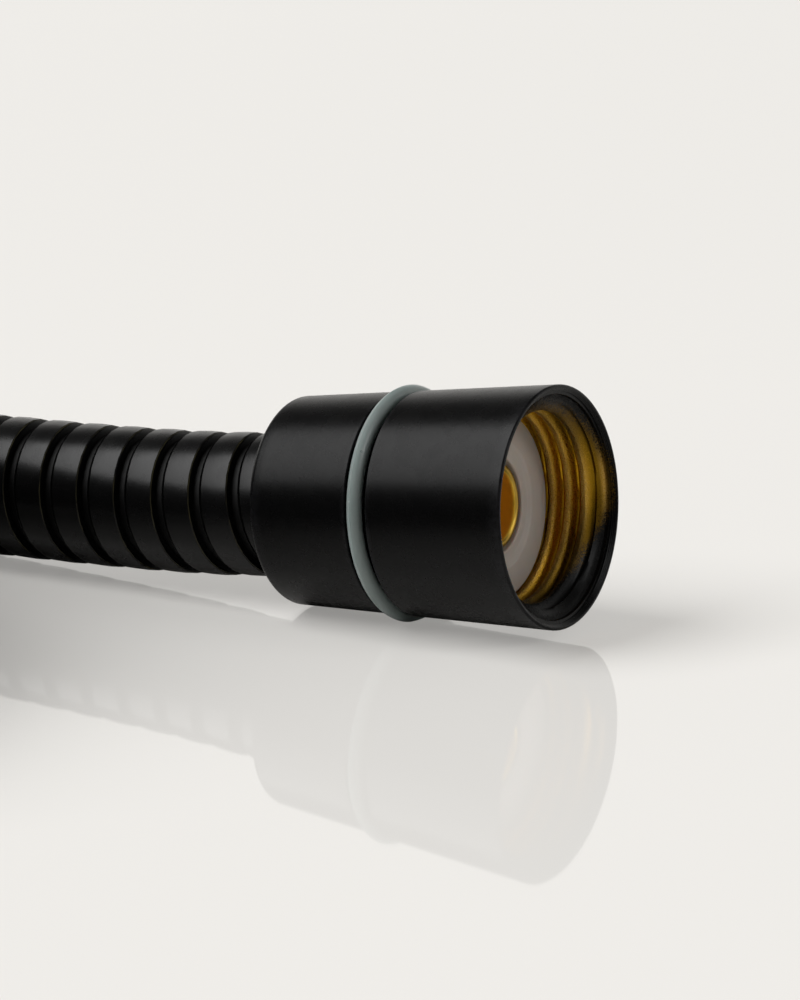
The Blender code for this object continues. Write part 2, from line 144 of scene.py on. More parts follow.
# Conical nut and its cushion ring
CONE_LENGTH = 29.26 * MM
CONE_MOUTH_RADIUS = 12.07 * MM
CONE_BACK_RADIUS = 10.48 * MM
CONE_FRONT = -0.15 * MM
CONE_OVERHANG = 0.2 * MM
CONE_END = CONE_LENGTH + CONE_OVERHANG
CONE_NARROWING = (CONE_MOUTH_RADIUS - CONE_BACK_RADIUS) / CONE_LENGTH
CONE_SLANT = math.sqrt(1.0 + CONE_NARROWING**2)
CONE_MOUTH_ROUND = 0.24 * MM
CONE_BACK_ROUND = 0.7 * MM
CONE_PLAIN = (1.5 * MM, 27.9 * MM)
CUSHION_AT = 16.69 * MM
CUSHION_RADIUS = 10.86 * MM
CUSHION_SECTION = 0.916 * MM
CUSHION_HALF_WIDTH = 0.7 * MM
CUSHION_SET_BACK = 0.14 * MM
CUSHION_SIDES = 48
SEAM_HEIGHT = 0.03 * MM
SEAM_SPREAD = 0.008
GROOVE_HALF_WIDTH = CUSHION_SECTION + 0.3 * MM
GROOVE_BOTTOM = CUSHION_RADIUS - CUSHION_SECTION - 0.3 * MM
GROOVE_EDGE = 0.1 * MM
GROOVE_PLAIN = 0.6 * MM

# Hexagonal nut
HEX_APOTHEM = 12.0 * MM
HEX_LENGTH = 11.0 * MM
HEX_CHAMFER = 1.3 * MM
HEX_FACE_RADIUS = 11.82 * MM
HEX_TURNED_RADIUS = 13.656 * MM
HEX_EDGE = 0.08 * MM
HEX_RIM_RADIUS = MOUTH_BORE + 0.46 * MM
COLLAR_RADIUS = 10.6 * MM
COLLAR_LENGTH = 7.0 * MM
COLLAR_ROUND = 0.8 * MM
NECK_DEPTH = 0.25 * MM
NECK_END = HEX_LENGTH + 0.5 * MM

# Washer and insert
WASHER_RADIUS = 9.32 * MM
WASHER_STEP_RADIUS = 6.0 * MM
WASHER_STEP = 0.3 * MM
WASHER_STEP_ROUND = 0.8 * MM
WASHER_BORE = 4.8 * MM
LIP_RADIUS = 4.5 * MM
INSERT_BORE = 3.6 * MM
STEM_RADIUS = 4.6 * MM
BARB_HEIGHT = 0.4 * MM
BARB_PITCH = 2.4 * MM
BARB_COUNT = 3

# Ties
TIE_DEG = (100.0, 176.0, 350.0)
TIE_WIDTH = 9.0 * MM
TIE_THICKNESS = 0.8 * MM
TIE_SLACK = 0.6 * MM
TIE_STEPS = 144
TIE_LAP_STEPS = slice(20, 60)
LAP_GAP = 0.02 * MM
YARNS_ALONG = 110.0
YARNS_ACROSS = 14.0
YARN_CROSSING = 0.4

# Meshes
STRIP_SIDES = 32
NUT_SIDES = 240
SEAL_SIDES = 120
THREAD_ROWS_A_PITCH = 14
SHARP_ANGLE = math.radians(38.0)

# Camera, from the edges of the nut and its ring in the photographed view
CAMERA_PLACE = np.array((268.54, -460.44, 132.48)) * MM
CAMERA_YAW = -0.53372
CAMERA_PITCH = 0.221885
CAMERA_ROLL = -0.00341
CAMERA_LENS_MM = 198.34
CAMERA_SENSOR_MM = 36.0

# Softboxes: the direction each stands in, the way its height runs, its width and height and its distance in
# metres, and its share of the power
LAMPS = {
    "softbox": ((-0.507, -0.411, 0.757), (0.0, 0.879, 0.477), (2.7, 5.2), 5.0, 1.0),
    "mouth_box": ((0.84, 0.14, 0.52), (-0.52, 0.0, 0.84), (1.6, 1.6), 4.0, 0.105),
}
FLOOR_IOR = 1.22
FLOOR_RADII = np.concatenate([[0.0], np.geomspace(0.02, 6.0, 40)])
FLOOR_SIDES = 96

LACQUER = "satin_black_lacquer_on_brass"
# Pale colour of dust on the black parts, and of the patches on the lacquer's rounded edges, which are partly
# wear and partly a painted highlight
PALE_DUST_WEAR_AND_HIGHLIGHT = (0.02, 0.02, 0.022)


# Settings


def length_setting(name, description, default):
    return FloatProperty(
        name=name, description=description, default=default, unit="LENGTH", subtype="DISTANCE"
    )


def colour_setting(name, description, default):
    return FloatVectorProperty(name=name, description=description, default=default, size=3, subtype="COLOR")


def share_setting(name, description, default):
    return FloatProperty(
        name=name, description=description, default=default, min=0.0, max=1.0, subtype="FACTOR"
    )


class StripSettings(bpy.types.PropertyGroup):
    """Sizes and finish of the wound metal strip."""

    radius: length_setting(
        "Hose radius", "Distance from the hose's centre to the flat of the strip", HOSE_RADIUS
    )
    pitch: length_setting("Strip pitch", "Distance from one groove to the next", 4.667 * MM)
    first_groove: length_setting(
        "First groove",
        "Distance from the nut's back to the first groove's far edge, along the top",
        5.65 * MM,
    )
    length: length_setting("Hose length", "Length of the hose between its two fittings", 1.4588)
    colour: colour_setting(
        "Strip colour", "Colour of the coating on the metal strip", (0.0025, 0.0025, 0.0026)
    )
    # Painted highlight: the paler colour given in patches to the strip's cut edge, where it catches light
    rim_highlight_colour: colour_setting(
        "Rim colour", "Colour where the coating is thin on the strip's cut edge", (0.05, 0.044, 0.018)
    )
    roughness: share_setting("Strip roughness", "Roughness of the coated strip", 0.26)


class NutSettings(bpy.types.PropertyGroup):
    """Thread and finish of the two nuts."""

    thread_pitch: length_setting("Thread pitch", "Distance from one thread crest to the next", 1.814 * MM)
    thread_radius: length_setting(
        "Thread crest radius", "Distance from the axis to the thread's crests", 9.5 * MM
    )
    first_crest: length_setting(
        "First crest", "Depth of the first crest in the mouth, a quarter turn from the top", 0.7 * MM
    )
    lacquer_colour: colour_setting("Lacquer colour", "Colour of the satin lacquer", (0.002, 0.002, 0.0021))
    lacquer_roughness: share_setting("Lacquer roughness", "Roughness of the satin lacquer", 0.27)
    brass_colour: colour_setting("Brass colour", "Colour of bare brass", (0.74, 0.48, 0.15))
    # Painted light: the inserts' brass is made brighter than bare brass, so that their bores look lit
    insert_lit_colour: colour_setting("Insert colour", "Colour of the inserts' brass", (1.0, 0.64, 0.08))
    # Painted shade: the darker colour given to the thread's roots, where shade falls between the crests
    root_shade_colour: colour_setting(
        "Thread root colour", "Colour of the dull brass at the roots of the thread", (0.56, 0.3, 0.012)
    )


class SoftSettings(bpy.types.PropertyGroup):
    """Colours of the ring, the washers and the ties."""

    ring_colour: colour_setting("Ring colour", "Colour of the cushion ring's silicone", (0.3, 0.35, 0.34))
    washer_colour: colour_setting("Washer colour", "Colour of the sealing washers", (0.43, 0.375, 0.33))
    tie_colour: colour_setting("Tie colour", "Colour of the ties' yarn", (0.016, 0.016, 0.018))


class StageSettings(bpy.types.PropertyGroup):
    """Background and light of the stage."""

    backdrop_colour: colour_setting(
        "Background colour", "Colour of the pale floor and the surroundings", (0.855, 0.838, 0.807)
    )
    ceiling_strength: share_setting(
        "Ceiling strength", "How bright the dim room is, as a share of the wall behind the object", 0.2
    )
    softbox_power: FloatProperty(
        name="Softbox power",
        description="Power of the large lamp above the object",
        default=290.0,
        unit="POWER",
    )
    plain_share: share_setting(
        "Plain share", "How much of the seen floor is its plain colour, and not lit or shaded", 0.4
    )


class HoseSettings(bpy.types.PropertyGroup):
    """All settings of the shower hose."""

    strip: PointerProperty(name="Strip", description="Wound metal strip", type=StripSettings)
    nuts: PointerProperty(name="Nuts", description="Conical and hexagonal nut", type=NutSettings)
    soft: PointerProperty(name="Soft parts", description="Ring, washers and ties", type=SoftSettings)
    stage: PointerProperty(name="Stage", description="Floor, background and light", type=StageSettings)


# Meshes


def placed(name, data):
    """A new object in the scene that shows the data."""
    thing = bpy.data.objects.new(name, data)
    bpy.context.scene.collection.objects.link(thing)
    return thing


def signed_volume(points, triangles):
    """Six times the volume inside a closed mesh: positive where its faces point outwards."""
    a, b, c = (points[triangles[:, k]] for k in range(3))
    return float(np.einsum("ij,ij->", a, np.cross(b, c)))


def mesh_piece(name, points, quads, corners, material, values=None, triangles=None):
    """A closed piece from arrays: points (n, 3), quads (m, 4) with their corners' map coordinates (m, 4, 2),
    further triangles (k, 3) with none, and point values by name. Its faces are turned outwards as one."""
    triangles = np.zeros((0, 3), int) if triangles is None else triangles
    halves = np.concatenate([quads[:, [0, 1, 2]], quads[:, [0, 2, 3]], triangles])
    if signed_volume(points, halves) < 0.0:
        quads, corners, triangles = quads[:, ::-1], corners[:, ::-1], triangles[:, ::-1]
    loops = np.concatenate([quads.ravel(), triangles.ravel()])
    starts = np.concatenate([4 * np.arange(len(quads)), 4 * len(quads) + 3 * np.arange(len(triangles))])
    mesh = bpy.data.meshes.new(name)
    mesh.vertices.add(len(points))
    mesh.vertices.foreach_set("co", points.astype(np.float32).ravel())
    mesh.loops.add(len(loops))
    mesh.loops.foreach_set("vertex_index", loops.astype(np.int32))
    mesh.polygons.add(len(starts))
    mesh.polygons.foreach_set("loop_start", starts.astype(np.int32))
    mesh.update(calc_edges=True)
    places = np.zeros((len(loops), 2))
    places[: quads.size] = corners.reshape(-1, 2)
    mesh.uv_layers.new(name="UVMap").data.foreach_set("uv", places.astype(np.float32).ravel())
    for label, value in (values or {}).items():
        layer = mesh.attributes.new(label, "FLOAT", "POINT")
        layer.data.foreach_set("value", value.astype(np.float32).ravel())
    mesh.validate()
    mesh.shade_smooth()
    mesh.set_sharp_from_angle(angle=SHARP_ANGLE)
    mesh.materials.append(material)
    return placed(name, mesh)


def ring_quads(rows, columns):
    """Quads over a grid whose last row joins its first and whose last column joins its first, with the map
    coordinates of their corners: x along the columns and y along the rows, each from 0 to 1."""
    numbers = np.pad(np.arange(rows * columns).reshape(rows, columns), ((0, 1), (0, 1)), mode="wrap")
    y, x = np.meshgrid(np.linspace(0.0, 1.0, rows + 1), np.linspace(0.0, 1.0, columns + 1), indexing="ij")

    def cells(grid):
        return np.stack([grid[:-1, :-1], grid[:-1, 1:], grid[1:, 1:], grid[1:, :-1]], axis=2)

    return cells(numbers).reshape(-1, 4), cells(np.stack([x, y], axis=-1)).reshape(-1, 4, 2)


def arc(centre, radius, start_deg, end_deg, steps):
    """Points (station, radius) round a centre: centre plus radius times the angle's cosine and sine."""
    angle = np.radians(np.linspace(start_deg, end_deg, steps + 1))
    return np.array(centre) + radius * np.stack([np.cos(angle), np.sin(angle)], axis=-1)


def line(*corners):
    return np.array(corners, float)


def outline_lengths(outline):
    """How far along the outline each of its points is."""
    return np.concatenate([[0.0], np.cumsum(np.linalg.norm(np.diff(outline, axis=0), axis=1))])


class Fitting:
    """The axis of one hose end: its mouth's middle, the way out of it, and the two directions across it."""

    def __init__(self, joint, station):
        found = next(j for j in frame["joints"] if j["name"] == joint)
        self.forward = np.array(found["axis"], float)
        self.forward /= np.linalg.norm(self.forward)
        self.mouth = np.array(found["pos_m"], float) + self.forward * station
        self.side = np.cross((0.0, 0.0, 1.0), self.forward)
        self.side /= np.linalg.norm(self.side)
        self.up = np.cross(self.forward, self.side)

    def turned(self, stations, radii, angles):
        """Points at each station back from the mouth, at each radius and angle. The angle is counted from
        the top towards the side, which is clockwise for an eye that looks into the mouth."""
        stations, radii, angles = np.broadcast_arrays(stations, radii, angles)
        across = np.cos(angles)[..., None] * self.up + np.sin(angles)[..., None] * self.side
        return self.mouth - stations[..., None] * self.forward + radii[..., None] * across


def handset():
    return Fitting("handset_nut_spin", CUSHION_AT)


def valve():
    return Fitting("valve_nut_spin", WASHER_AT)


def lathe_piece(name, fitting, outline, sides, material, values=None):
    """A closed outline (rows, 2) of stations and radii, turned once round a fitting's axis."""
    angles = TURN * np.arange(sides) / sides
    points = fitting.turned(outline[:, :1], outline[:, 1:], angles[None, :])
    quads, corners = ring_quads(len(outline), sides)
    spread = {label: np.repeat(value[:, None], sides, axis=1) for label, value in (values or {}).items()}
    return mesh_piece(name, points.reshape(-1, 3), quads, corners, material, spread)


# Node trees


class Nodes:
    """Adds nodes to one tree and feeds each input with a value or another node's output."""

    def __init__(self, tree):
        self.tree = tree

    def add(self, kind, inputs=(), **settings):
        node = self.tree.nodes.new("ShaderNode" + kind)
        for key, value in settings.items():
            setattr(node, key, value)
        for key, value in dict(inputs).items():
            self.feed(node.inputs[key], value)
        return node

    def feed(self, socket, value):
        if isinstance(value, bpy.types.NodeSocket):
            self.tree.links.new(value, socket)
        elif socket.type == "RGBA" and len(value) == 3:
            socket.default_value = (*value, 1.0)
        else:
            socket.default_value = value

    def math(self, operation, a, b=0.0, c=0.0, clamp=False):
        return self.add("Math", {0: a, 1: b, 2: c}, operation=operation, use_clamp=clamp).outputs[0]

    def mix(self, share, a, b):
        return self.add("Mix", {0: share, 6: a, 7: b}, data_type="RGBA", clamp_factor=True).outputs[2]

    def span(self, value, low, high, to_low=0.0, to_high=1.0):
        """The value's place between low and high, smoothed at both ends."""
        inputs = {0: value, 1: low, 2: high, 3: to_low, 4: to_high}
        return self.add("MapRange", inputs, interpolation_type="SMOOTHSTEP").outputs[0]

    def noise(self, vector, scale, detail=2.0, roughness=0.5):
        inputs = {"Vector": vector, "Scale": scale, "Detail": detail, "Roughness": roughness}
        return self.add("TexNoise", inputs).outputs[0]

    def place(self):
        return self.add("TexCoord").outputs["Object"]

    def map_place(self):
        return self.add("TexCoord").outputs["UV"]

    def value_of(self, label):
        return self.add("Attribute", attribute_name=label, attribute_type="GEOMETRY").outputs["Fac"]

    def group(self, name, **inputs):
        """The outputs of a shared effect, whose node group is made when it is first asked for."""
        node = self.tree.nodes.new("ShaderNodeGroup")
        node.node_tree = bpy.data.node_groups.get(name) or EFFECTS[name]()
        for label, value in inputs.items():
            self.feed(node.inputs[label.replace("_", " ")], value)
        return node.outputs


class Surface(Nodes):
    """A new material's node tree, with its shader's sockets, of which the constant ones are set by name."""

    def __init__(self, name, **constants):
        self.material = bpy.data.materials.new(name)
        self.material.use_nodes = True
        super().__init__(self.material.node_tree)
        self.shader = self.tree.nodes["Principled BSDF"].inputs
        for label, value in constants.items():
            self.feed(self.shader[label.replace("_", " ")], value)

    def finish(self, colour, roughness, height, depth, strength):
        """Feeds the shader its colour, its roughness and a bump, and gives the finished material."""
        bump = self.add("Bump", {"Height": height, "Distance": depth, "Strength": strength})
        for label, value in (("Base Color", colour), ("Roughness", roughness), ("Normal", bump.outputs[0])):
            self.feed(self.shader[label], value)
        return self.material


def effect_group(name, inputs, outputs):
    """An empty node group with named sockets: its node adder, its inputs' sockets and its outputs' sockets.
    An input is a number, a colour, or None for a vector."""
    tree = bpy.data.node_groups.new(name, "ShaderNodeTree")
    for label, default in inputs.items():
        kind = "Vector" if default is None else "Float" if isinstance(default, float) else "Color"
        socket = tree.interface.new_socket(label, in_out="INPUT", socket_type="NodeSocket" + kind)
        if default is not None:
            socket.default_value = default
    for label in outputs:
        kind = "Color" if label == "Colour" else "Float"
        tree.interface.new_socket(label, in_out="OUTPUT", socket_type="NodeSocket" + kind)
    given = tree.nodes.new("NodeGroupInput").outputs
    return Nodes(tree), given, tree.nodes.new("NodeGroupOutput").inputs


def fine_grain_group():
    """Fine grain: its height is noise at the grain's size, and its roughness drifts over patches ten times
    that."""
    adder, given, end = effect_group(
        "fine_grain",
        {"Vector": None, "Grain Size": 0.0002, "Roughness": 0.4, "Drift": 0.1},
        ("Height", "Roughness"),
    )
    scale = adder.math("DIVIDE", 1.0, given["Grain Size"])
    adder.feed(end["Height"], adder.noise(given["Vector"], scale, 3.0, 0.6))
    patches = adder.noise(given["Vector"], adder.math("MULTIPLY", scale, 0.1), 3.0)
    drift = adder.math("MULTIPLY", adder.math("SUBTRACT", patches, 0.5), given["Drift"])
    adder.feed(end["Roughness"], adder.math("ADD", given["Roughness"], drift, clamp=True))
    return adder.tree


def patchy_edge_group():
    """Patchy edges: the patch colour shows in broken patches where the edge value is high. It gives edge wear
    and a painted highlight on the lacquer's edges, a painted highlight on the strip's cut edge, and tarnish on
    brass.
    """
    inputs = {"Vector": None, "Edge": 0.0, "Patch Size": 0.0008, "Amount": 0.5}
    inputs |= {"Colour": (0.0, 0.0, 0.0, 1.0), "Worn Colour": (0.5, 0.5, 0.5, 1.0)}
    adder, given, end = effect_group("patchy_edge", inputs, ("Colour", "Mask"))
    scale = adder.math("DIVIDE", 1.0, given["Patch Size"])
    patches = adder.span(adder.noise(given["Vector"], scale, 4.0, 0.65), 0.32, 0.68)
    mask = adder.math("MULTIPLY", adder.math("MULTIPLY", given["Edge"], patches), given["Amount"], clamp=True)
    adder.feed(end["Colour"], adder.mix(mask, given["Colour"], given["Worn Colour"]))
    adder.feed(end["Mask"], mask)
    return adder.tree


def dust_group():
    """Dust: small pale specks, one in some of the cells of a cell pattern, each a disc round the cell's
    point."""
    inputs = {"Vector": None, "Cell Size": 0.0012, "Share": 0.1}
    inputs |= {"Colour": (0.0, 0.0, 0.0, 1.0), "Dust Colour": (0.3, 0.3, 0.3, 1.0)}
    adder, given, end = effect_group("dust", inputs, ("Colour", "Mask"))
    scale = adder.math("DIVIDE", 1.0, given["Cell Size"])
    cells = adder.add("TexVoronoi", {"Vector": given["Vector"], "Scale": scale}).outputs
    near = adder.span(cells["Distance"], 0.03, 0.09, 1.0, 0.0)
    chosen = adder.add("SeparateColor", {0: cells["Color"]}).outputs[0]
    mask = adder.math("MULTIPLY", near, adder.math("LESS_THAN", chosen, given["Share"]))
    adder.feed(end["Colour"], adder.mix(mask, given["Colour"], given["Dust Colour"]))
    adder.feed(end["Mask"], mask)
    return adder.tree


def turned_lines_group():
    """Turned lines: fine lathe lines, which are noise over the distance along the outline and none round
    it."""
    adder, given, end = effect_group("turned_lines", {"Along": 0.0, "Line Width": 0.00006}, ("Height",))
    distance = adder.math("DIVIDE", given["Along"], given["Line Width"])
    lines = adder.add("TexNoise", {"W": distance, "Scale": 1.0, "Detail": 2.0}, noise_dimensions="1D")
    adder.feed(end["Height"], lines.outputs[0])
    return adder.tree


EFFECTS = {
    "fine_grain": fine_grain_group,
    "patchy_edge": patchy_edge_group,
    "dust": dust_group,
    "turned_lines": turned_lines_group,
}


# Materials


def darker(colour, share):
    return tuple(share * value for value in colour)


def lacquered_brass(nuts):
    """Satin lacquer that thins in speckles on a nut's bare brass thread, from the mouth inwards. The brass is
    bright on the thread's crests, with painted glints where the speckles are high, and darker at its roots as
    painted shade; it is dark where the thin mist of the spray has settled."""
    if LACQUER in bpy.data.materials:
        return bpy.data.materials[LACQUER]
    look = Surface(LACQUER, Specular_IOR_Level=0.095)
    place, bare, crest, mist = look.place(), *(look.value_of(label) for label in ("bare", "crest", "mist"))
    rough = nuts.lacquer_roughness
    grain = look.group("fine_grain", Vector=place, Grain_Size=0.00016, Roughness=rough, Drift=0.1)
    dusted = look.group(
        "dust", Vector=place, Cell_Size=0.0017, Share=0.03, Colour=nuts.lacquer_colour, Dust_Colour=PALE_DUST_WEAR_AND_HIGHLIGHT
    )["Colour"]
    # Pale patches on the lacquer's rounded edges: partly wear, and partly a painted highlight where the edges
    # catch light
    dust_and_painted_light = look.group(
        "patchy_edge",
        Vector=place,
        Edge=look.value_of("edge"),
        Patch_Size=0.0012,
        Amount=0.4,
        Colour=dusted,
        Worn_Colour=PALE_DUST_WEAR_AND_HIGHLIGHT,
    )["Colour"]
    speckles = look.span(look.noise(place, 8000.0, 3.0, 0.75), 0.32, 0.68)
    covered = look.math("MULTIPLY_ADD", bare, -1.5, 1.05)
    sprayed = look.math("MULTIPLY_ADD", look.noise(place, 900.0), 0.4, covered)
    lacquer = look.math("MULTIPLY_ADD", look.math("SUBTRACT", sprayed, speckles), 4.0, 0.5, clamp=True)
    # The brass runs from the root colour, painted shade, to bare brass on the crests, with painted glints
    # where the speckles are high
    crest_glints = look.math("MULTIPLY_ADD", look.math("POWER", speckles, 2.0), 0.9, 0.25)
    crest_lit_share = look.math("MULTIPLY", crest, crest_glints, clamp=True)
    clear = look.math("POWER", look.math("SUBTRACT", 1.0, mist), 1.5)
    misted = look.math("MULTIPLY_ADD", clear, -0.86, 0.86)
    brass = look.mix(misted, look.mix(crest_lit_share, nuts.root_shade_colour, nuts.brass_colour), nuts.lacquer_colour)
    look.feed(look.shader["Metallic"], look.math("SUBTRACT", 1.0, lacquer))
    shine = look.math("MULTIPLY_ADD", speckles, 0.3, 0.22)
    rough = look.math("MULTIPLY_ADD", look.math("SUBTRACT", grain["Roughness"], shine), lacquer, shine)
    lines = look.group("turned_lines", Along=look.value_of("along"), Line_Width=0.00009)["Height"]
    sparkle = look.math("MULTIPLY", look.math("MULTIPLY", crest, speckles), 8.0)
    height = look.math("ADD", look.math("MULTIPLY_ADD", lines, 0.5, grain["Height"]), sparkle)
    return look.finish(look.mix(lacquer, brass, dust_and_painted_light), rough, height, 0.000006, 0.6)


def coated_strip(strip):
    """Semi-gloss black coating on the wound strip: a painted highlight in pale patches on its cut edge, and
    painted shade in the groove, which is also dull."""
    look = Surface("black_coated_strip", Specular_IOR_Level=0.155)
    place, spread = look.place(), look.map_place()
    across = look.add("SeparateXYZ", {0: spread}).outputs[1]
    # Mask of the strip's cut edge, where a highlight is painted
    rim = look.math("MULTIPLY", look.span(across, 0.3475, 0.352), look.span(across, 0.357, 0.372, 1.0, 0.0))
    # Mask of the groove: it paints shade there, darker than the strip, and makes the groove rougher
    groove = look.math("MULTIPLY", look.span(across, 0.085, 0.11), look.span(across, 0.34, 0.347, 1.0, 0.0))
    dusted = look.group(
        "dust", Vector=place, Cell_Size=0.0021, Share=0.04, Colour=strip.colour, Dust_Colour=PALE_DUST_WEAR_AND_HIGHLIGHT
    )["Colour"]
    dust_and_painted_light = look.group(
        "patchy_edge",
        Vector=place,
        Edge=rim,
        Patch_Size=0.003,
        Amount=0.8,
        Colour=look.mix(groove, dusted, (0.001, 0.001, 0.001)),
        Worn_Colour=strip.rim_highlight_colour,
    )["Colour"]
    grain = look.group("fine_grain", Vector=place, Grain_Size=0.0002, Roughness=strip.roughness, Drift=0.12)
    rough = look.math("MULTIPLY_ADD", groove, 0.3, grain["Roughness"], clamp=True)
    stretched = look.add("Mapping", {"Vector": spread, "Scale": (1.2, 70.0, 1.0)}).outputs[0]
    drawn = look.noise(stretched, 1.0, 3.0)
    height = look.math("MULTIPLY_ADD", drawn, 0.6, grain["Height"])
    return look.finish(dust_and_painted_light, rough, height, 0.000008, 0.5)


def clear_silicone(soft):
    """Translucent silicone: light passes a little way through it, and its skin is faintly mottled."""
    look = Surface(
        "grey_green_silicone",
        Specular_IOR_Level=0.45,
        Subsurface_Weight=0.5,
        Subsurface_Scale=0.0012,
        Subsurface_Radius=(0.8, 1.0, 1.0),
        Transmission_Weight=0.25,
        IOR=1.41,
    )
    place = look.place()
    mottled = look.mix(look.noise(place, 900.0, 3.0), darker(soft.ring_colour, 0.88), soft.ring_colour)
    grain = look.group("fine_grain", Vector=place, Grain_Size=0.00025, Roughness=0.3, Drift=0.12)
    dusted = look.group(
        "dust", Vector=place, Cell_Size=0.0013, Share=0.1, Colour=mottled, Dust_Colour=(0.5, 0.54, 0.53)
    )["Colour"]
    return look.finish(dusted, grain["Roughness"], grain["Height"], 0.000008, 0.5)


def washer_rubber(soft):
    """Milky rubber with faint clouds and the fine lines of its mould."""
    look = Surface(
        "milky_washer_rubber", Specular_IOR_Level=0.4, Subsurface_Weight=0.35, Subsurface_Scale=0.001
    )
    place = look.place()
    clouded = look.mix(look.noise(place, 420.0, 4.0), darker(soft.washer_colour, 0.86), soft.washer_colour)
    grain = look.group("fine_grain", Vector=place, Grain_Size=0.0003, Roughness=0.42, Drift=0.12)
    lines = look.group("turned_lines", Along=look.value_of("along"), Line_Width=0.00014)["Height"]
    height = look.math("MULTIPLY_ADD", lines, 0.5, grain["Height"])
    return look.finish(clouded, grain["Roughness"], height, 0.00001, 0.5)


def turned_brass(name, colour, lined=True):
    """Bare brass with a slight tarnish in patches. A lined one has lathe lines, and its colour is darkened
    outside its bore, as painted shade beside the bore, which keeps its bright colour as painted light."""
    look = Surface(name, Metallic=1.0)
    place = look.place()
    tarnish = look.span(look.noise(place, 520.0, 4.0), 0.35, 0.75)
    shown = look.group(
        "patchy_edge",
        Vector=place,
        Edge=tarnish,
        Patch_Size=0.0006,
        Amount=0.5,
        Colour=colour,
        Worn_Colour=darker(colour, 0.7),
    )["Colour"]
    grain = look.group("fine_grain", Vector=place, Grain_Size=0.0001, Roughness=0.34, Drift=0.14)
    height, rough = grain["Height"], grain["Roughness"]
    if lined:
        # Painted light and shade: the bore keeps the bright colour, and the rest of the insert is darkened
        inside = look.value_of("inside")
        shown = look.mix(inside, look.mix(0.68, shown, (0.1, 0.06, 0.025)), shown)
        rough = look.math("MULTIPLY_ADD", inside, 0.22, rough)
        lines = look.group("turned_lines", Along=look.value_of("along"), Line_Width=0.00007)["Height"]
        height = look.math("ADD", lines, height)
    return look.finish(shown, rough, height, 0.000005, 0.6)


def plain_moulded(name, colour, roughness, grain_size):
    """A moulded rubber or plastic with faint clouds, fine grain and dust."""
    look = Surface(name, Specular_IOR_Level=0.4)
    place = look.place()
    clouded = look.mix(look.noise(place, 380.0, 3.0), darker(colour, 0.85), colour)
    paler = tuple(min(1.0, value + 0.06) for value in colour)
    dusted = look.group("dust", Vector=place, Cell_Size=0.0015, Share=0.08, Colour=clouded, Dust_Colour=paler)
    grain = look.group("fine_grain", Vector=place, Grain_Size=grain_size, Roughness=roughness, Drift=0.12)
    return look.finish(dusted["Colour"], grain["Roughness"], grain["Height"], 0.00001, 0.6)


def woven_strap(soft):
    """A slightly fuzzy strap of two sets of rounded yarns that cross like a chessboard. The height of each
    set is the sine of its own angle without its sign, plus a share of the sine of both angles' sum for one
    set and minus it for the other, and the higher set shows."""
    look = Surface("black_woven_strap", Specular_IOR_Level=0.25, Sheen_Weight=0.25, Sheen_Roughness=0.5)
    place, spread = look.place(), look.add("SeparateXYZ", {0: look.map_place()}).outputs
    counts = (YARNS_ALONG, YARNS_ACROSS)
    phases = [look.math("MULTIPLY", spread[k], math.pi * count) for k, count in enumerate(counts)]
    crossing = look.math("SINE", look.math("ADD", *phases))
    yarns = [
        look.math("MULTIPLY_ADD", crossing, over, look.math("ABSOLUTE", look.math("SINE", phase)))
        for phase, over in zip(phases, (YARN_CROSSING, -YARN_CROSSING), strict=True)
    ]
    woven = look.math("MAXIMUM", *yarns)
    fuzz = look.noise(place, 3000.0, 3.0, 0.7)
    fuzzy = look.mix(fuzz, soft.tie_colour, darker(soft.tie_colour, 1.7))
    # Painted shade: the colour darkens where the weave is low, between the yarns
    colour = look.mix(look.span(woven, 0.2, 1.3), darker(soft.tie_colour, 0.4), fuzzy)
    grain = look.group("fine_grain", Vector=place, Grain_Size=0.0003, Roughness=0.75, Drift=0.15)
    return look.finish(colour, grain["Roughness"], look.math("MULTIPLY_ADD", fuzz, 0.35, woven), 0.00012, 0.7)


# The hose


def ease(value, span):
    """Half a cosine that goes from 0 to 1 over the span."""
    share = np.clip((value - span[0]) / (span[1] - span[0]), 0.0, 1.0)
    return 0.5 - 0.5 * np.cos(math.pi * share)


def turn_radius(degrees):
    """The outer turn's radius less one pitch once the hose has shifted in, then it leans into the valley
    between the two floor turns, and inwards again at its tail."""
    floor_turns = COIL_OUTER_TURN - COIL_PITCH * ease(degrees, SHIFT_DEG)
    lean = math.radians(60.0) * ease(degrees, CLIMB_DEG)
    upper = COIL_OUTER_TURN - COIL_PITCH * np.cos(lean) - TAIL_INWARD * ease(degrees, TAIL_DEG)
    return np.where(degrees < SHIFT_DEG[1], floor_turns, upper)


def turn_height(degrees):
    """On the floor at first, and then a pitch away from the turn beneath, by the height of a right
    triangle."""
    aside = turn_radius(degrees) - turn_radius(degrees - 360.0)
    over = np.sqrt(np.maximum(COIL_PITCH**2 - aside**2, 0.0))
    spare = VALVE_AXIS_HEIGHT - COIL_FLOOR_HEIGHT - COIL_PITCH
    raised = COIL_FLOOR_HEIGHT + over + spare * ease(degrees, TAIL_DEG)
    return np.where(degrees <= SHIFT_DEG[1], COIL_FLOOR_HEIGHT, raised)


def turn_points(degrees):
    angle, radius = np.radians(degrees), turn_radius(degrees)
    flat = np.stack([radius * np.cos(angle), radius * np.sin(angle), turn_height(degrees)], axis=-1)
    return COIL_CENTRE + flat


